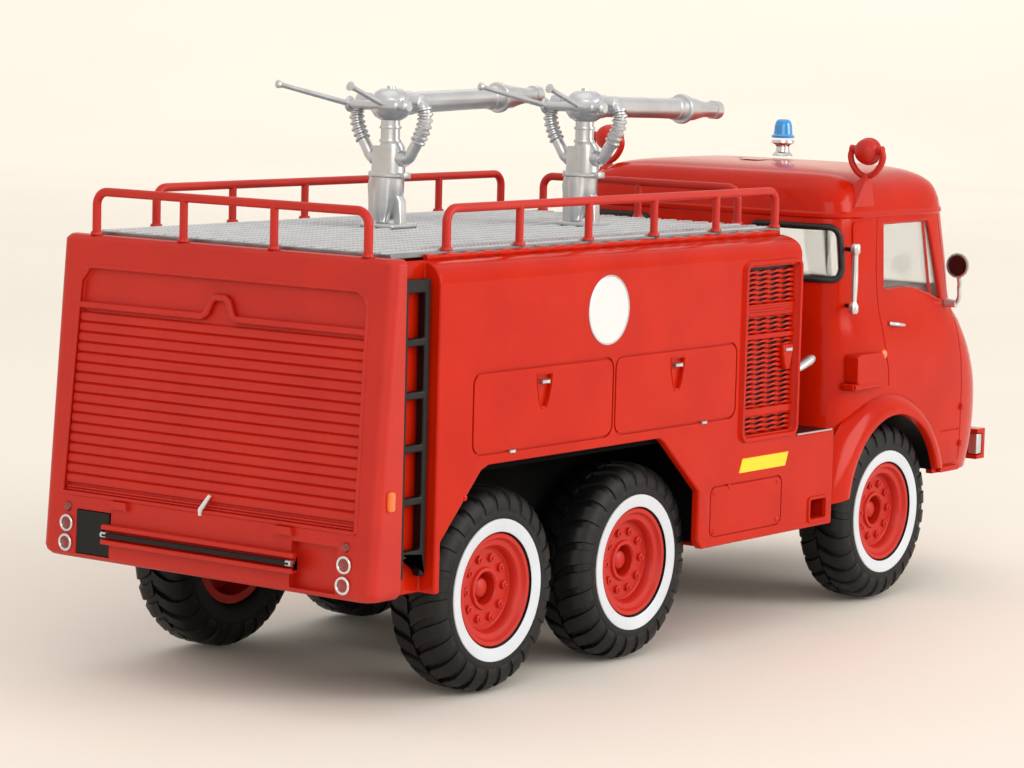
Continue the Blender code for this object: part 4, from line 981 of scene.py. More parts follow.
AROUND = 144
cab = bmesh.new()
shells = []
for inset, drop in ((0.0, 0.0), (WALL, WALL)):
    rings = []
    for row in cab_rings(inset, drop):
        spots = [
            on_ring(2 * pi * k / AROUND, row, min(inset, 0.4) if row[3] > 16 else inset)
            for k in range(AROUND)
        ]
        rings.append([cab.verts.new(spot * MM) for spot in spots])
    skin(cab, rings)
    cab.faces.new(rings[-1])
    shells.append(rings[0])
skin(cab, shells)
cab = raw("cab_casting", cab)

HUB = Vector((45.8, 13.7))
LIP_HUB = Vector((47.0, 15.3))
cutters = bmesh.new()
for name, face, spots, side in openings(0.0):
    slab(cutters, face, spots, side, -1.0, WALL + 1.0)
carve(cab, cutters, "MANIFOLD")
arch = bmesh.new()
for side in (-1, 1):
    ends = sorted((side * 17.0, side * 40.0))
    prism(arch, arc(HUB, 16.4, 0, 355, 71), "y", *ends)
carve(cab, arch, "MANIFOLD")
lamp_holes = bmesh.new()
for side in (-1, 1):
    lathe(lamp_holes, [(0, -4), (3.15, -4), (3.15, 4), (0, 4)], (CAB_FRONT, side * 17.5, 29.0), "x", 40)
carve(cab, lamp_holes, "MANIFOLD")
seams = bmesh.new()
SEAMS = (
    [
        (43.6, 59.3), (43.3, 55.0), (43.2, 51.5), (43.5, 48.0), (44.0, 45.2), (45.2, 40.0),
        (46.3, 35.7), (46.4, 33.3),
    ],
    [
        (69.5, 19.6), (69.5, 25.0), (69.5, 31.0), (69.3, 36.0), (68.4, 41.0), (67.2, 44.6),
        (65.2, 50.0), (62.6, 59.3),
    ],
    [(62.9, 24.7), (69.0, 24.7)],
)


def densely(route, step=0.6):
    """More places along a broken line, evenly spaced."""
    spots = [route[0]]
    for a, b in zip(route, route[1:]):
        count = max(1, int((Vector(b) - Vector(a)).length / step))
        spots += [tuple(Vector(a).lerp(Vector(b), (k + 1) / count)) for k in range(count)]
    return spots


for side in (-1, 1):
    for seam in SEAMS:
        pipe(seams, [handed(on_side(x, z), side) for x, z in densely(seam)], 0.17, 8)
carve(cab, seams, "MANIFOLD")
settle(cab, ENAMEL, "truck", ("cab_shell",), 34)

# Clear styrene glazing, clean and thin, with a little of the mould's ripple.
CLEAR = bpy.data.materials.new("clear_styrene")
CLEAR.use_nodes = True
shader = CLEAR.node_tree.nodes["Principled BSDF"]
coords = add_node(CLEAR.node_tree, "ShaderNodeTexCoord").outputs["Object"]
ripple = add_node(CLEAR.node_tree, "ShaderNodeTexNoise", {"Vector": coords, "Scale": 1 / (4 * MM)})
rippled = add_node(
    CLEAR.node_tree, "ShaderNodeBump", {"Height": ripple.outputs["Fac"], "Distance": 0.03 * MM}
)
CLEAR.node_tree.links.new(rippled.outputs["Normal"], shader.inputs["Normal"])
shader.inputs["Base Color"].default_value = linear("#f2f6f6")
shader.inputs["Roughness"].default_value = 0.04
shader.inputs["Transmission Weight"].default_value = 0.92
shader.inputs["IOR"].default_value = 1.2
shader.inputs["Alpha"].default_value = 0.45
# Black rubber-look paint on the gaskets.
GASKET = surface("black_gasket", "#0b0b0c", "#131314", (0.4, 0.55), 0.3, 0.01)

for name, face, spots, side in openings(0.12):
    pane = bmesh.new()
    slab(pane, face, spots, side, 0.3, 0.8)
    put(f"{name}_pane", pane, CLEAR, (name,))
gaskets = bmesh.new()
frames = bmesh.new()
for name, face, spots, side in openings(0.0):
    if face is on_side:
        pipe(frames, rim_of(face, spots, side, 0.25), 0.36, 8, closed=True)
        bar = [(58.2, 58.5), (59.0, 54.0), (59.7, 50.0), (60.4, 46.4)]
        pipe(frames, [handed(on_side(x, z, 0.5), side) for x, z in bar], 0.3, 8)
    else:
        pipe(gaskets, rim_of(face, spots, side, -0.05), 0.5, 10, closed=True)
pipe(gaskets, [on_front(0.0, z, 0.2) for z in (47.2, 50, 53, 56, 58.4)], 0.5, 10)
put("window_gaskets", gaskets, GASKET)
put("door_window_frames", frames, ENAMEL)

# Wheel arches: a rounded flare stands out from each side over the front wheel, with a black liner.
FLARE_ARC, LINER_ARC = (17, 172), (19, 168)
flares = bmesh.new()
liners = bmesh.new()
for side in (-1, 1):
    rings = []
    for k in range(61):
        turn = radians(FLARE_ARC[0] + (FLARE_ARC[1] - FLARE_ARC[0]) * k / 60)
        way = Vector((cos(turn), sin(turn)))
        lip = LIP_HUB + way * 13.4
        root = HUB + way * 18.8
        section = []
        for share, out in (
            (0, 26.7), (0, 27.5), (0.06, 27.85), (0.2, 27.95), (0.45, 27.8), (0.7, 27.2),
            (0.88, 26.5), (1, 25.4),
        ):
            spot = lip.lerp(root, share)
            section.append(Vector((spot.x, side * out, spot.y)))
        spot = lip.lerp(root, 0.75)
        section.append(Vector((spot.x, side * 25.0, spot.y)))
        spot = lip.lerp(root, 0.45)
        section.append(Vector((spot.x, side * 26.2, spot.y)))
        rings.append([flares.verts.new(spot * MM) for spot in section])
    skin(flares, rings, True)
    outer = arc(HUB, 16.6, *LINER_ARC, 40)
    inner = arc(HUB, 15.7, *reversed(LINER_ARC), 40)
    prism(liners, [*outer, *inner], "y", *sorted((side * 17.7, side * 26.4)))
put("wheel_arch_flares", flares, ENAMEL)
put("wheel_arch_liners", liners, BLACK)

# Pressed panels, filler box, hinges, step pads, marker lamps and handles on the cab's sides.
pressings = bmesh.new()
pulls = bmesh.new()
ambers = bmesh.new()
brackets = bmesh.new()
for side in (-1, 1):
    panel = columns(36.5, 40.9, lambda x: 49.8, lambda x: 59.0, 0.9, 1.0, 16)
    slab(pressings, on_side, panel, side, -0.22, 0.4)
    y = side * 27.6
    cover = rounded((34.6, 34.3), (42.4, 38.9), 0.7)
    prism(pressings, cover, "y", side * 25.2, side * 27.7, 0.35)
    block(pressings, (33.6, min(y, side * 25.4), 33.4), (41.6, max(y, side * 25.4), 34.5), 0.25)
    pipe(pressings, [(33.8, side * 27.5, 34.0), (41.4, side * 27.5, 34.0)], 0.45, 12)
    for x, z in ((69.5, 28.2), (69.5, 22.3)):
        spot = handed(on_side(x, z, -0.1), side)
        lathe(pressings, [(0, 0.5), (0.35, 0.45), (0.45, -0.45), (0, -0.5)], spot, "z", 12)
    slab(
        pressings,
        on_side,
        columns(62.9, 69.3, lambda x: 18.1, lambda x: 18.9, 0.3, 1.0, 8),
        side,
        -0.7,
        0.6,
        3,
    )
    lamp = [(0.0, 0.55), (0.5, 0.5), (0.75, 0.25), (0.8, -0.4), (0, -0.4)]
    spot = handed(on_side(44.6, 38.3), side)
    lathe(ambers, facing(lamp, side), spot, "y", 20)
    grip = [
        handed(on_side(x, z, -out), side)
        for x, z, out in ((46.9, 42.9, 0.1), (47.3, 42.85, 0.75), (48.8, 42.7, 0.85), (50.3, 42.5, 0.7))
    ]
    pipe(pulls, grip, [0.35, 0.32, 0.3, 0.2], 10)
    x, out = 33.7, 27.05
    ends = [(x, side * out, 55.4), (x, side * out, 45.8)]
    knob = [
        (45.3, 0.55), (45.6, 0.75), (46.6, 0.75), (46.9, 0.5), (47.2, 0.45), (50.5, 0.55), (50.9, 0.42)
    ]
    stem = [*knob, *[(101.2 - z, r) for z, r in reversed(knob[:-1])]]
    pipe(pulls, [(x, side * out, z) for z, r in stem], [r for z, r in stem], 14)
    for z in (54.9, 46.3):
        foot = handed(on_side(x + 1.8, z, 0.3), side)
        pipe(brackets, [foot, (x, side * (out - 0.1), z)], 0.34, 10)
put("cab_pressings", pressings, ENAMEL)
put("cab_marker_lamps", ambers, AMBER_LENS)
put("handles_and_latches", pulls, SILVER, ("grab_handle_left", "grab_handle_right"))
put("handle_brackets", brackets, BLACK)


# ------------------------------------------------------------------ radiator grille mesh
# Behind the cast frame lies a black sheet, and over it a screen of red wires, all crimped alike, so that
# dark slits line up in four upright columns.


def repeat_along(item, name, count, step, material):
    """Repeats a small shape along a straight line by Geometry Nodes; step is in metres."""
    tree, keys, given = open_tree(name, {"Count": "Int", "Step": "Vector"})
    places = {"Count": given["Count"], "Offset": given["Step"]}
    points = add_node(tree, "GeometryNodeMeshLine", places, mode="OFFSET").outputs[0]
    copies = {"Points": points, "Instance": given["Geometry"]}
    return close_tree(item, tree, keys, (count, step), copies, material)


WIRE_PITCH = 0.72
COLUMN_PITCH = 3.2
for tag, side in (("left", 1), ("right", -1)):
    backing = bmesh.new()
    ends = sorted((side * (FACE_Y - 1.05), side * (FACE_Y - 0.92)))
    prism(backing, rounded((1.0, 29.7), (14.1, 53.8), 0.4), "y", *ends)
    put(f"grille_backing_{tag}", backing, BLACK)
    wire = bmesh.new()
    route = []
    widths = []
    for k in range(53):
        x = 1.05 + 0.25 * k
        phase = 2 * pi * (x - 2.6) / COLUMN_PITCH
        route.append((x, side * (FACE_Y - 0.72 + 0.08 * sin(phase)), 30.0 + 0.08 * sin(phase)))
        widths.append(0.34 - 0.17 * (0.5 + 0.5 * cos(phase)))
    pipe(wire, route, widths, 8)
    wires = repeat_along(
        raw(f"grille_wires_{tag}", wire), f"wires_{tag}", 33, (0.0, 0.0, WIRE_PITCH * MM), ENAMEL
    )
    settle(wires, ENAMEL, "truck")


# ------------------------------------------------------------------ cab interior and nose
# Under the glass is one black tub with two seats, the dashboard and a wheel. The nose carries plated
# headlamps, a ribbed air intake and a red channel-section bumper bolted to the frame.

interior = cad_copy("cab_interior_moulding", "cab_interior", 0.35)
settle(interior, BLACK, "truck", ("cab_interior",))

bumper_low, bumper_high = box_of("front_bumper")
bumper_back = bumper_high.x - 2.6
channel = [
    (bumper_back, bumper_low.z), (bumper_high.x, bumper_low.z), (bumper_high.x, bumper_high.z),
    (bumper_back, bumper_high.z), (bumper_back, bumper_high.z - 0.7),
    (bumper_high.x - 0.8, bumper_high.z - 0.7), (bumper_high.x - 0.8, bumper_low.z + 0.7),
    (bumper_back, bumper_low.z + 0.7),
]
bumper = bmesh.new()
prism(bumper, channel, "y", bumper_low.y, bumper_high.y, 0.12)
for side in (-1, 1):
    block(bumper, (76.0, side * 12.0 - 1.5, 19.2), (bumper_high.x - 0.5, side * 12.0 + 1.5, 22.0), 0.3)
put("bumper_channel", bumper, ENAMEL, ("front_bumper",))
bright = bmesh.new()
for side in (-1, 1):
    y = side * (bumper_high.y - 0.9)
    block(
        bright,
        (bumper_back + 0.1, y - 0.8, bumper_low.z + 0.8),
        (bumper_high.x - 0.8, y + 0.8, bumper_high.z - 0.8),
        0.2,
    )
put("bumper_end_faces", bright, SILVER)

intake = bmesh.new()
slots = bmesh.new()
for k in range(6):
    z = 26.0 + 1.9 * k
    pipe(intake, [on_front(y, z, 0.05) for y in range(-11, 12)], 0.5, 10)
for k in range(5):
    z = 26.95 + 1.9 * k
    pipe(slots, [on_front(y, z, 0.28) for y in range(-11, 12)], 0.42, 8)
put("intake_ribs", intake, ENAMEL)
put("intake_slots", slots, BLACK)

bezels = bmesh.new()
for tag, side in (("left", 1), ("right", -1)):
    low, high = box_of(f"headlamp_{tag}")
    middle = (low + high) / 2
    lens_back = high.x - 1.6
    lens_shape = bmesh.new()
    dome = [(2.75 * sin(radians(a)), lens_back + 1.5 * cos(radians(a))) for a in range(0, 91, 10)]
    lathe(
        lens_shape,
        [(r, h - middle.x) for r, h in [*dome, (2.75, low.x + 0.4), (0, low.x + 0.4)]],
        middle,
        "x",
        40,
    )
    put(f"headlamp_{tag}_lens", lens_shape, CLEAR, (f"headlamp_{tag}",))
    section = [(3.05 + a, lens_back - middle.x + 0.1 + b) for a, b in arc((0, 0), 0.42, 0, 330, 11)]
    lathe(bezels, section, middle, "x", 48, closed=True)
    bowl = [
        (0, low.x + 0.35 - middle.x), (2.9, low.x + 0.35 - middle.x), (2.9, low.x - middle.x),
        (0, low.x - middle.x),
    ]
    lathe(bezels, bowl, middle, "x", 40)
put("headlamp_bezels", bezels, CHROME)


# ------------------------------------------------------------------ battery box lid
# The lid of the box behind the cab is a thin black plate laid in the step of the casting, one on each side.
# A silver-lacquered bead runs along its outer edge.

lid = bmesh.new()
edging = bmesh.new()
for side in (-1, 1):
    outer = side * (FACE_Y - 0.25)
    inner = side * (FACE_Y - 7.0)
    block(lid, (15.9, min(outer, inner), 28.3), (26.0, max(outer, inner), 28.55), 0.1)
    pipe(edging, [(16.0, outer, 28.5), (25.8, outer, 28.5)], 0.15, 8)
put("battery_box_lid", lid, BLACK)
put("battery_box_edging", edging, SILVER)


# ------------------------------------------------------------------ mirrors, lamps and levers
# Small fittings are separate mouldings pressed into the cab: silver mirrors on bent arms, a blue beacon
# in a plated cup on the roof, and two spotlights in forks on fin-shaped feet.

ARM_WIRE = 0.36
mirrors = bmesh.new()
glasses = bmesh.new()
# Mirror faces: smooth and half metallic, with the side of the red cab painted into them as a dark red
# colour, a painted reflection.
MIRROR_PAINTED_REFLECTION = surface("mirror_painted_red_reflection", "#3c0b0a", "#521211", (0.08, 0.16), 1.5, 0.003, Metallic=0.6)


def through(spots, per=6):
    """A smooth route through a few places."""
    spots = [Vector(spot) for spot in spots]
    route = []
    for k in range(len(spots) - 1):
        before, after = spots[max(0, k - 1)], spots[min(len(spots) - 1, k + 2)]
        for step in range(per):
            t = step / per
            near, far = spots[k], spots[k + 1]
            bend = (2 * before - 5 * near + 4 * far - after) * t**2 + (
                3 * near - before - 3 * far + after
            ) * t**3
            route.append(near + ((far - before) * t + bend) / 2)
    return [*route, spots[-1]]


for side in (-1, 1):
    spots = [
        (65.0, 25.6, 44.9),
        (65.0, 27.2, 45.3),
        (64.6, 27.9, 46.4),
        (64.3, 28.0, 48.0),
        (62.6, 29.0, 48.6),
        (61.6, 29.4, 49.6),
    ]
    pipe(mirrors, through([(x, side * y, z) for x, y, z in spots]), ARM_WIRE, 10)
    foot = (65.0, side * 26.4, 45.1)
    lathe(
        mirrors,
        [(0, side * 0.9), (0.6, side * 0.8), (0.75, -side * 1.0), (0, -side * 1.0)],
        foot,
        "y",
        16,
    )
    centre = (61.2, side * 29.4, 51.5)
    shell = [
        (0, 0.75), (0.9, 0.7), (1.6, 0.45), (1.95, 0.0), (1.95, -0.35), (1.68, -0.4),
        (1.62, -0.15), (0, -0.15),
    ]
    lathe(mirrors, shell, centre, "x", 36)
    lathe(glasses, [(0, -0.27), (1.6, -0.25), (1.62, -0.1), (0, -0.1)], centre, "x", 36)
put("door_mirrors", mirrors, SILVER, ("mirror_left", "mirror_right"))
put("mirror_glasses", glasses, MIRROR_PAINTED_REFLECTION)

# Blue styrene: strongly dyed and glossy, and only a little clear.
BLUE = surface("blue_styrene", "#0a94e6", "#1aa2ee", (0.06, 0.14), 1.0, 0.004, Coat_Weight=1.0)
BLUE.node_tree.nodes["Principled BSDF"].inputs["Transmission Weight"].default_value = 0.15
base_low, base_high = box_of("beacon_base")
base_mid = (base_low + base_high) / 2
cup = bmesh.new()
steps = [
    (0, 0), (1.7, 0), (1.55, 0.35), (1.15, 0.7), (1.05, 1.5), (1.25, 1.8), (1.85, 2.05),
    (1.9, 2.3), (1.75, 2.58), (0, 2.58),
]
lathe(cup, steps, (base_mid.x, base_mid.y, base_low.z), "z", 40)
put("beacon_cup", cup, CHROME, ("beacon_base",))
lens_low, lens_high = box_of("beacon_lens")
dome = bmesh.new()
tall = lens_high.z - lens_low.z
steps = [
    (0, 0), (1.85, 0), (1.88, 0.35), (1.55, 0.6), (1.5, 0.9), (1.42, 1.9), (1.25, tall - 0.45),
    (0.95, tall - 0.1), (0.5, tall), (0, tall),
]
lathe(dome, steps, (base_mid.x, base_mid.y, lens_low.z), "z", 40)
put("beacon_dome", dome, BLUE, ("beacon_lens",))

for tag, side in (("left", 1), ("right", -1)):
    spot_lamp = bmesh.new()
    centre = Vector((40.6, side * 24.3, 69.6))
    bowl = [(2.0 * sin(radians(a)), -1.8 * cos(radians(a))) for a in range(0, 90, 10)]
    bowl += [(2.0, 0.2), (2.1, 0.3), (2.1, 0.9), (1.85, 1.0), (1.75, 0.7), (0, 0.6)]
    lathe(spot_lamp, bowl, centre, "x", 36)
    fork = [
        (-2.5, 0.3), (-2.85, -0.7), (-2.5, -2.0), (-1.4, -3.3), (0.0, -3.8), (1.4, -3.3),
        (2.5, -2.0), (2.85, -0.7), (2.5, 0.3),
    ]
    ring = through([centre + Vector((0.0, a, b)) for a, b in fork], 5)
    pipe(spot_lamp, ring, 0.5, 10)
    for end in (ring[0], ring[-1]):
        way = (end - centre).normalized() * 0.7
        pipe(spot_lamp, [end + way * 0.5, end - way], 0.62, 12)
    foot = centre + Vector((0.0, 0.0, -3.6))
    pipe(spot_lamp, [foot + Vector((0, 0, 0.2)), foot + Vector((0, 0, -0.9))], [0.6, 0.8], 12)
    low_y = side * 22.6
    tip = [
        (x, foot.y + side * a, z)
        for x, a, z in ((39.9, -0.5, 65.6), (41.3, -0.5, 65.6), (41.3, 0.5, 65.6), (39.9, 0.5, 65.6))
    ]
    root = [
        (x, low_y + side * a, z)
        for x, a, z in ((37.0, -1.2, 61.9), (42.9, -1.2, 61.9), (42.9, 2.0, 61.2), (37.0, 2.0, 61.2))
    ]
    rims = [[spot_lamp.verts.new(Vector(spot) * MM) for spot in rim] for rim in (tip, root)]
    skin(spot_lamp, rims, True)
    put(f"spotlight_{tag}_lamp", spot_lamp, SATIN, (f"spotlight_{tag}",))
    glass = bmesh.new()
    lathe(glass, [(0, 1.1), (0.9, 1.0), (1.7, 0.75), (1.7, 0.55), (0, 0.55)], centre, "x", 36)
    put(f"spotlight_{tag}_glass", glass, CHROME)

lever_low, lever_high = box_of("hand_lever")
lever = bmesh.new()
y = (lever_low.y + lever_high.y) / 2
route = [
    (lever_low.x + 0.3, y, 35.2), (22.0, y, 37.3), (23.0, y, 37.7), (25.4, y, 38.5), (26.3, y, 38.8)
]
pipe(lever, route, [0.4, 0.42, 0.62, 0.8, 0.62], 14)
put("shut_off_lever", lever, SILVER, ("hand_lever",))


# ------------------------------------------------------------------ foam monitors
# Each monitor is two silver-lacquered mouldings: a pedestal plugged into the deck, and the gun with its
# ribbed hoses and two steering levers. They are cast stiff, and the gun is glued on its post.


def bar_with_ends(bm, a, b, radius, sides=16):
    """A round bar with chamfered ends."""
    a, b = Vector(a), Vector(b)
    way = (b - a).normalized() * radius * 0.3
    pipe(bm, [a, a + way, b - way, b], [radius * 0.72, radius, radius, radius * 0.72], sides)


# The top of the post, inside the head, and the middle of the head.
POST_TOP, HEAD_Z = 74.6, 76.3
for tag, pitch in (("rear", 1.8), ("front", -1.5)):
    low, high = box_of(f"monitor_{tag}_pedestal")
    cx, cy, deck_z = (low.x + high.x) / 2, (low.y + high.y) / 2, low.z - 0.3
    stand = bmesh.new()
    block(stand, (cx - 2.9, cy - 2.9, deck_z), (cx + 2.9, cy + 2.9, deck_z + 0.7), 0.25)
    cheek = [
        (cy + 0.9, deck_z + 0.5), (cy + 2.4, deck_z + 0.5), (cy + 2.0, 61.5), (cy + 2.6, 64.8),
        (cy + 2.3, 66.1), (cy + 0.6, 66.1),
    ]
    prism(stand, cheek, "x", cx - 1.8, cx + 1.5, 0.25)
    pipe(
        stand, [(cx, cy, 60.6), (cx, cy, 61.8), (cx, cy, 64.0), (cx, cy, 66.1)], [0.9, 1.5, 2.1, 2.1], 24
    )
    pipe(
        stand,
        [(cx - 0.2, cy + 0.2, deck_z + 1.2), (cx - 0.2, cy + 0.2, 62.4), (cx - 0.2, cy, 66.0)],
        [1.0, 1.75, 1.85],
        20,
    )
    pipe(
        stand,
        [(cx - 1.7, cy, deck_z + 0.9), (cx - 1.7, cy, 62.2), (cx - 1.5, cy, 66.1)],
        [0.7, 1.2, 1.4],
        16,
    )
    fin = [
        (cy - 2.6, deck_z + 0.5), (cy - 1.5, deck_z + 0.5), (cy - 1.0, 61.5), (cy - 1.0, 65.0),
        (cy - 2.4, 62.9),
    ]
    prism(stand, fin, "x", cx - 0.7, cx + 0.9, 0.2)
    collar = [(0, 0.3), (2.5, 0.3), (2.65, 0.15), (2.65, -0.15), (2.5, -0.3), (0, -0.3)]
    lathe(stand, collar, (cx, cy, 66.45), "z", 40)
    for side in (-1, 1):
        block(
            stand, (cx - 0.8, cy + side * 2.6 - 0.7, 66.0), (cx + 0.8, cy + side * 2.6 + 0.7, 66.9), 0.2
        )
    upper = [(cx - 1.75, 66.7), (cx + 1.75, 66.7), (cx + 1.5, 70.5), (cx - 1.5, 70.5)]
    prism(stand, upper, "y", cy - 0.9, cy + 2.1, 0.3)
    pipe(
        stand, [(cx, cy - 0.6, 66.7), (cx, cy - 0.6, 70.3), (cx, cy - 0.5, 70.9)], [1.75, 1.65, 1.3], 24
    )
    for side in (-1, 1):
        pipe(stand, [(cx, cy + side * 1.6, 68.8), (cx, cy + side * 3.0, 68.8)], [1.25, 1.1], 20)
    pipe(stand, [(cx, cy, 70.2), (cx, cy, 70.7), (cx, cy, POST_TOP)], [1.7, 1.35, 1.35], 24)
    for z in (71.2, 73.1):
        lathe(stand, [(0, 0.2), (1.5, 0.2), (1.55, 0), (1.5, -0.2), (0, -0.2)], (cx, cy, z), "z", 28)
    put(f"monitor_{tag}_stand", stand, SILVER, (f"monitor_{tag}_pedestal",))

    gun = bmesh.new()
    axis = Vector((cx, cy, HEAD_Z))
    head = [
        (0, 2.55), (0.6, 2.55), (0.65, 2.2), (1.5, 2.15), (2.3, 1.6), (2.8, 0.8), (2.95, 0.0),
        (2.8, -0.9), (2.3, -1.7), (1.5, -2.2), (0, -2.3),
    ]
    lathe(gun, head, axis, "z", 40)
    ahead = Vector((cos(radians(pitch)), 0, sin(radians(pitch))))
    marks = (
        (1.0, 1.75), (4.2, 1.7), (4.3, 1.55), (18.0, 1.5), (22.7, 1.55), (22.8, 1.72), (24.4, 1.72),
        (24.45, 2.1), (24.6, 2.25), (25.1, 2.25), (25.3, 2.1), (25.35, 1.72), (27.7, 1.7), (28.1, 1.6),
        (30.8, 1.15), (33.0, 1.2), (33.05, 1.4), (34.5, 1.4), (34.5, 0.95), (32.5, 0.8),
    )
    pipe(gun, [axis + ahead * reach for reach, r in marks], [r for reach, r in marks], 28)
    bar_with_ends(gun, axis + Vector((0, -5.2, 0)), axis + Vector((0, 5.2, 0)), 0.95)
    for side in (-1, 1):
        offsets = [
            (4.7, 0.35), (5.7, -0.1), (6.15, -1.3), (5.85, -3.1), (5.1, -4.7), (4.2, -6.1),
            (3.5, -7.2), (2.9, -7.6),
        ]
        route = through([axis + Vector((0, side * out, up)) for out, up in offsets], 9)
        pipe(gun, route, 0.84, 16)
        ribbed = route[12:42]
        for k in range(0, len(ribbed) - 4, 4):
            trio = ribbed[k : k + 4]
            pipe(gun, trio, [0.85, 1.12, 1.12, 0.85], 16)
        joint = route[0]
        lathe(gun, [(0, 1.0), (1.1, 0.9), (1.2, 0.0), (1.1, -0.9), (0, -1.0)], joint, "y", 20)
    shaft = axis + Vector((-2.9, 0, -0.1))
    bar_with_ends(gun, shaft + Vector((0, -4.9, 0)), shaft + Vector((0, 4.9, 0)), 0.6)
    bar_with_ends(gun, shaft + Vector((0, -3.9, 0)), shaft + Vector((0, -0.5, 0)), 0.85)
    bar_with_ends(gun, shaft + Vector((0, 4.7, 0)), shaft + Vector((0, 5.4, 0)), 1.15, 24)
    bar_with_ends(gun, shaft + Vector((0, -5.6, 0)), shaft + Vector((0, -4.6, 0)), 0.95, 20)
    for out, back, climb, tip in ((5.1, 15.6, 2.85, 0.6), (-1.1, 7.6, 2.75, 0.7)):
        root = shaft + Vector((0, out, 0))
        way = Vector((-back, 0, climb))
        spots = [root + way * share for share in (0, 0.05, 0.82, 0.92, 0.985, 1.0)]
        pipe(gun, spots, [0.6, 0.42, 0.36, tip * 0.6, tip, tip * 0.55], 14)
    put(f"monitor_{tag}_gun_moulding", gun, SILVER, (f"monitor_{tag}_gun",), "truck", 36)


# ------------------------------------------------------------------ chassis
# One black moulding closes the model underneath and carries the axle pins. Thin matt black sheets laid over
# the red faces of the rear wheel wells, and two blocks under the floor, are painted shade.

chassis = cad_copy("chassis_moulding", "chassis_frame", 0.25, 2)
settle(chassis, BLACK, "truck", ("chassis_frame",))


def rectangle(across, up):
    """The outline of an upright rectangle between two places across and two heights."""
    return [(across[0], up[0]), (across[1], up[0]), (across[1], up[1]), (across[0], up[1])]


# Painted shade: dead matt black with almost no shine, so that the wells read as dark as shadow.
WELL_SHADE = surface(
    "painted_well_shade", "#040404", "#070707", (0.85, 0.95), 0.4, 0.004, Specular_IOR_Level=0.08
)
WELL_X, WELL_Y, WELL_TOP = (-69.3, -8.0), (17.4, 27.5), 30.2
wells = bmesh.new()
for side in (-1, 1):
    ends = sorted((side * WELL_Y[0], side * WELL_Y[1]))
    rear_ends = sorted((side * WELL_Y[0], side * 23.5))
    prism(wells, rectangle(WELL_X, (WELL_TOP, WELL_TOP + 0.75)), "y", *ends)
    inside = sorted((side * 17.35, side * 17.6))
    prism(wells, rectangle((WELL_X[0], WELL_X[1] - 0.1), (16.0, 30.9)), "y", *inside)
    prism(wells, rectangle((WELL_X[0], WELL_X[0] + 0.4), (15.8, WELL_TOP - 0.1)), "y", *rear_ends)
    prism(wells, rectangle((WELL_X[1] - 0.6, WELL_X[1] - 0.1), (15.0, WELL_TOP - 0.1)), "y", *ends)
for x in (-38.3, 4.0):
    block(wells, (x - 6, -14.0, 13.2), (x + 6, 14.0, 17.3), 0.6)
put("painted_well_shade_sheets", wells, WELL_SHADE)


# ------------------------------------------------------------------ wheels
# Each steel pin carries two red plastic rims pressed into soft rubber tyres. The tyres have chevron lugs
# that wrap over the shoulders, and a white ring is printed on each outer side wall.

# Soft rubber: nearly black, with a dull sheen on the crowns.
RUBBER = surface("soft_rubber", "#060607", "#0d0d0e", (0.42, 0.58), 0.3, 0.006, Specular_IOR_Level=0.3)
# White ring printed on the rubber: flat and a touch cool.
WHITE_WALL = surface("white_wall_print", "#c9d0d8", "#d3dae2", (0.4, 0.55), 0.3, 0.004)
# Drawn steel wire: bright grey metal, a little uneven along the pin.
STEEL = surface("drawn_steel", "#8d8f91", "#a3a5a7", (0.22, 0.34), 0.2, 0.004, Metallic=1.0)


def repeat_round(item, name, count, material):
    """Repeats a small shape round the Y axis by Geometry Nodes."""
    tree, keys, given = open_tree(name, {"Count": "Int"})
    places = {"Count": given["Count"], "Offset": (0.0, 0.0, 0.0)}
    points = add_node(tree, "GeometryNodeMeshLine", places, mode="OFFSET").outputs[0]
    index = add_node(tree, "GeometryNodeInputIndex").outputs[0]
    share = add_node(
        tree, "ShaderNodeMath", {0: index, 1: given["Count"]}, operation="DIVIDE"
    ).outputs[0]
    turn = add_node(tree, "ShaderNodeMath", {0: share, 1: 2 * pi}, operation="MULTIPLY").outputs[0]
    rotation = add_node(tree, "ShaderNodeCombineXYZ", {"Y": turn}).outputs[0]
    copies = {"Points": points, "Instance": given["Geometry"], "Rotation": rotation}
    return close_tree(item, tree, keys, (count,), copies, material)


LUGS = 26
carcass_half = [
    (7.75, 3.6), (8.4, 4.0), (9.9, 4.2), (10.3, 4.22), (10.5, 4.1), (11.6, 3.95), (12.5, 3.55),
    (13.1, 2.7), (13.15, 0.0),
]
carcass = [*carcass_half, *[(r, -y) for r, y in reversed(carcass_half[:-1])]]
lug_line = [
    (0.15, 13.7, 0.0), (1.3, 13.7, 3.4), (2.5, 13.62, 5.6), (3.3, 13.2, 6.6), (3.95, 12.3, 7.2),
    (4.2, 11.3, 7.5), (4.15, 10.6, 7.6),
]
LUG_WIDTH = 8.6  # degrees round the tyre
NUTS, NUT_CIRCLE_R, NUT_SEAT = 10, 4.15, 1.88
rim_profile = [
    (0.0, 1.9), (0.9, 1.85), (1.25, 1.6), (1.35, 0.6), (2.1, 0.5), (2.15, 2.2), (2.35, 2.45),
    (2.75, 2.4), (2.9, 2.05), (5.3, 2.05), (5.5, 2.2), (5.65, 3.0), (5.95, 3.35), (6.6, 3.45),
    (6.75, 3.6), (6.95, 3.95), (7.45, 4.0), (7.62, 3.8), (7.6, -3.2), (6.4, -3.2), (6.0, 0.2),
    (0.0, 0.0),
]

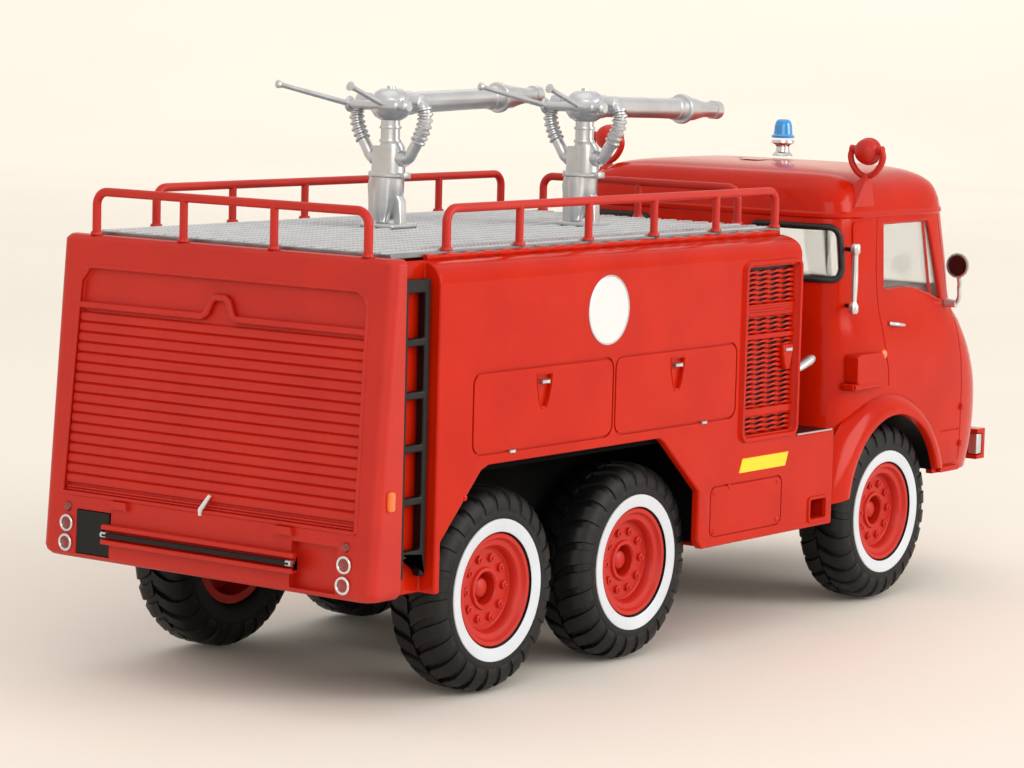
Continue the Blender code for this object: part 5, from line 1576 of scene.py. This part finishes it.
for axle in ("rear", "middle", "front"):
    body = f"wheelset_{axle}"
    for tag, side in (("left", 1), ("right", -1)):
        low, high = box_of(f"tyre_{axle}_{tag}")
        centre = (low + high) / 2
        hand = side if axle != "front" else -side
        tyre = bmesh.new()
        lathe(tyre, facing(carcass, side), centre, "y", 72, closed=True)
        tyre = put(f"tyre_{axle}_{tag}_carcass", tyre, RUBBER, (f"tyre_{axle}_{tag}",), body)

        lug = bmesh.new()
        for flank in (-1, 1):
            rows = []
            for y, r, lag in lug_line:
                sweep = (lag + (180 / LUGS if flank < 0 else 0)) * hand
                base = r - 0.75
                corners = []
                for angle, radius in ((0, r), (LUG_WIDTH, r), (LUG_WIDTH + 0.8, base), (-0.8, base)):
                    turn = radians(sweep + angle)
                    inner = 0.35 if radius == base and y > 3.9 else 0.0
                    corners.append(Vector((radius * cos(turn), flank * (y - inner), radius * sin(turn))))
                rows.append([lug.verts.new(spot * MM) for spot in corners])
            skin(lug, rows, True)
        lugs = repeat_round(raw(f"tyre_{axle}_{tag}_lugs", lug), f"lugs_{axle}_{tag}", LUGS, RUBBER)
        lugs.data.transform(Matrix.Translation(centre * MM))
        settle(lugs, RUBBER, body, (), 30)

        wall = bmesh.new()
        band = [(7.78, 4.05), (8.0, 4.2), (9.3, 4.36), (9.5, 4.3), (9.54, 4.1), (8.6, 3.9)]
        lathe(wall, facing(band, side), centre, "y", 72, closed=True)
        put(f"white_wall_{axle}_{tag}", wall, WHITE_WALL, (), body)

        rim = bmesh.new()
        lathe(rim, [(r, side * (y - 0.15)) for r, y in rim_profile], centre, "y", 64)
        put(f"rim_{axle}_{tag}_moulding", rim, SATIN, (f"rim_{axle}_{tag}",), body, 34)

        nut = bmesh.new()
        stud = [(0, 0.72), (0.24, 0.7), (0.3, 0.5), (0.56, 0.44), (0.6, -0.1), (0, -0.1)]
        lathe(nut, [(r, side * (h + NUT_SEAT)) for r, h in stud], (NUT_CIRCLE_R, 0, 0), "y", 10)
        nuts = repeat_round(raw(f"nuts_{axle}_{tag}", nut), f"nuts_{axle}_{tag}", NUTS, SATIN)
        nuts.data.transform(Matrix.Translation(centre * MM))
        settle(nuts, SATIN, body)
    shaft = bmesh.new()
    low, high = box_of(f"axle_{axle}")
    pin = (low + high) / 2
    bar_with_ends(shaft, (pin.x, low.y + 2.2, pin.z), (pin.x, high.y - 2.2, pin.z), 0.9, 24)
    put(f"axle_pin_{axle}", shaft, STEEL, (f"axle_{axle}",), body)
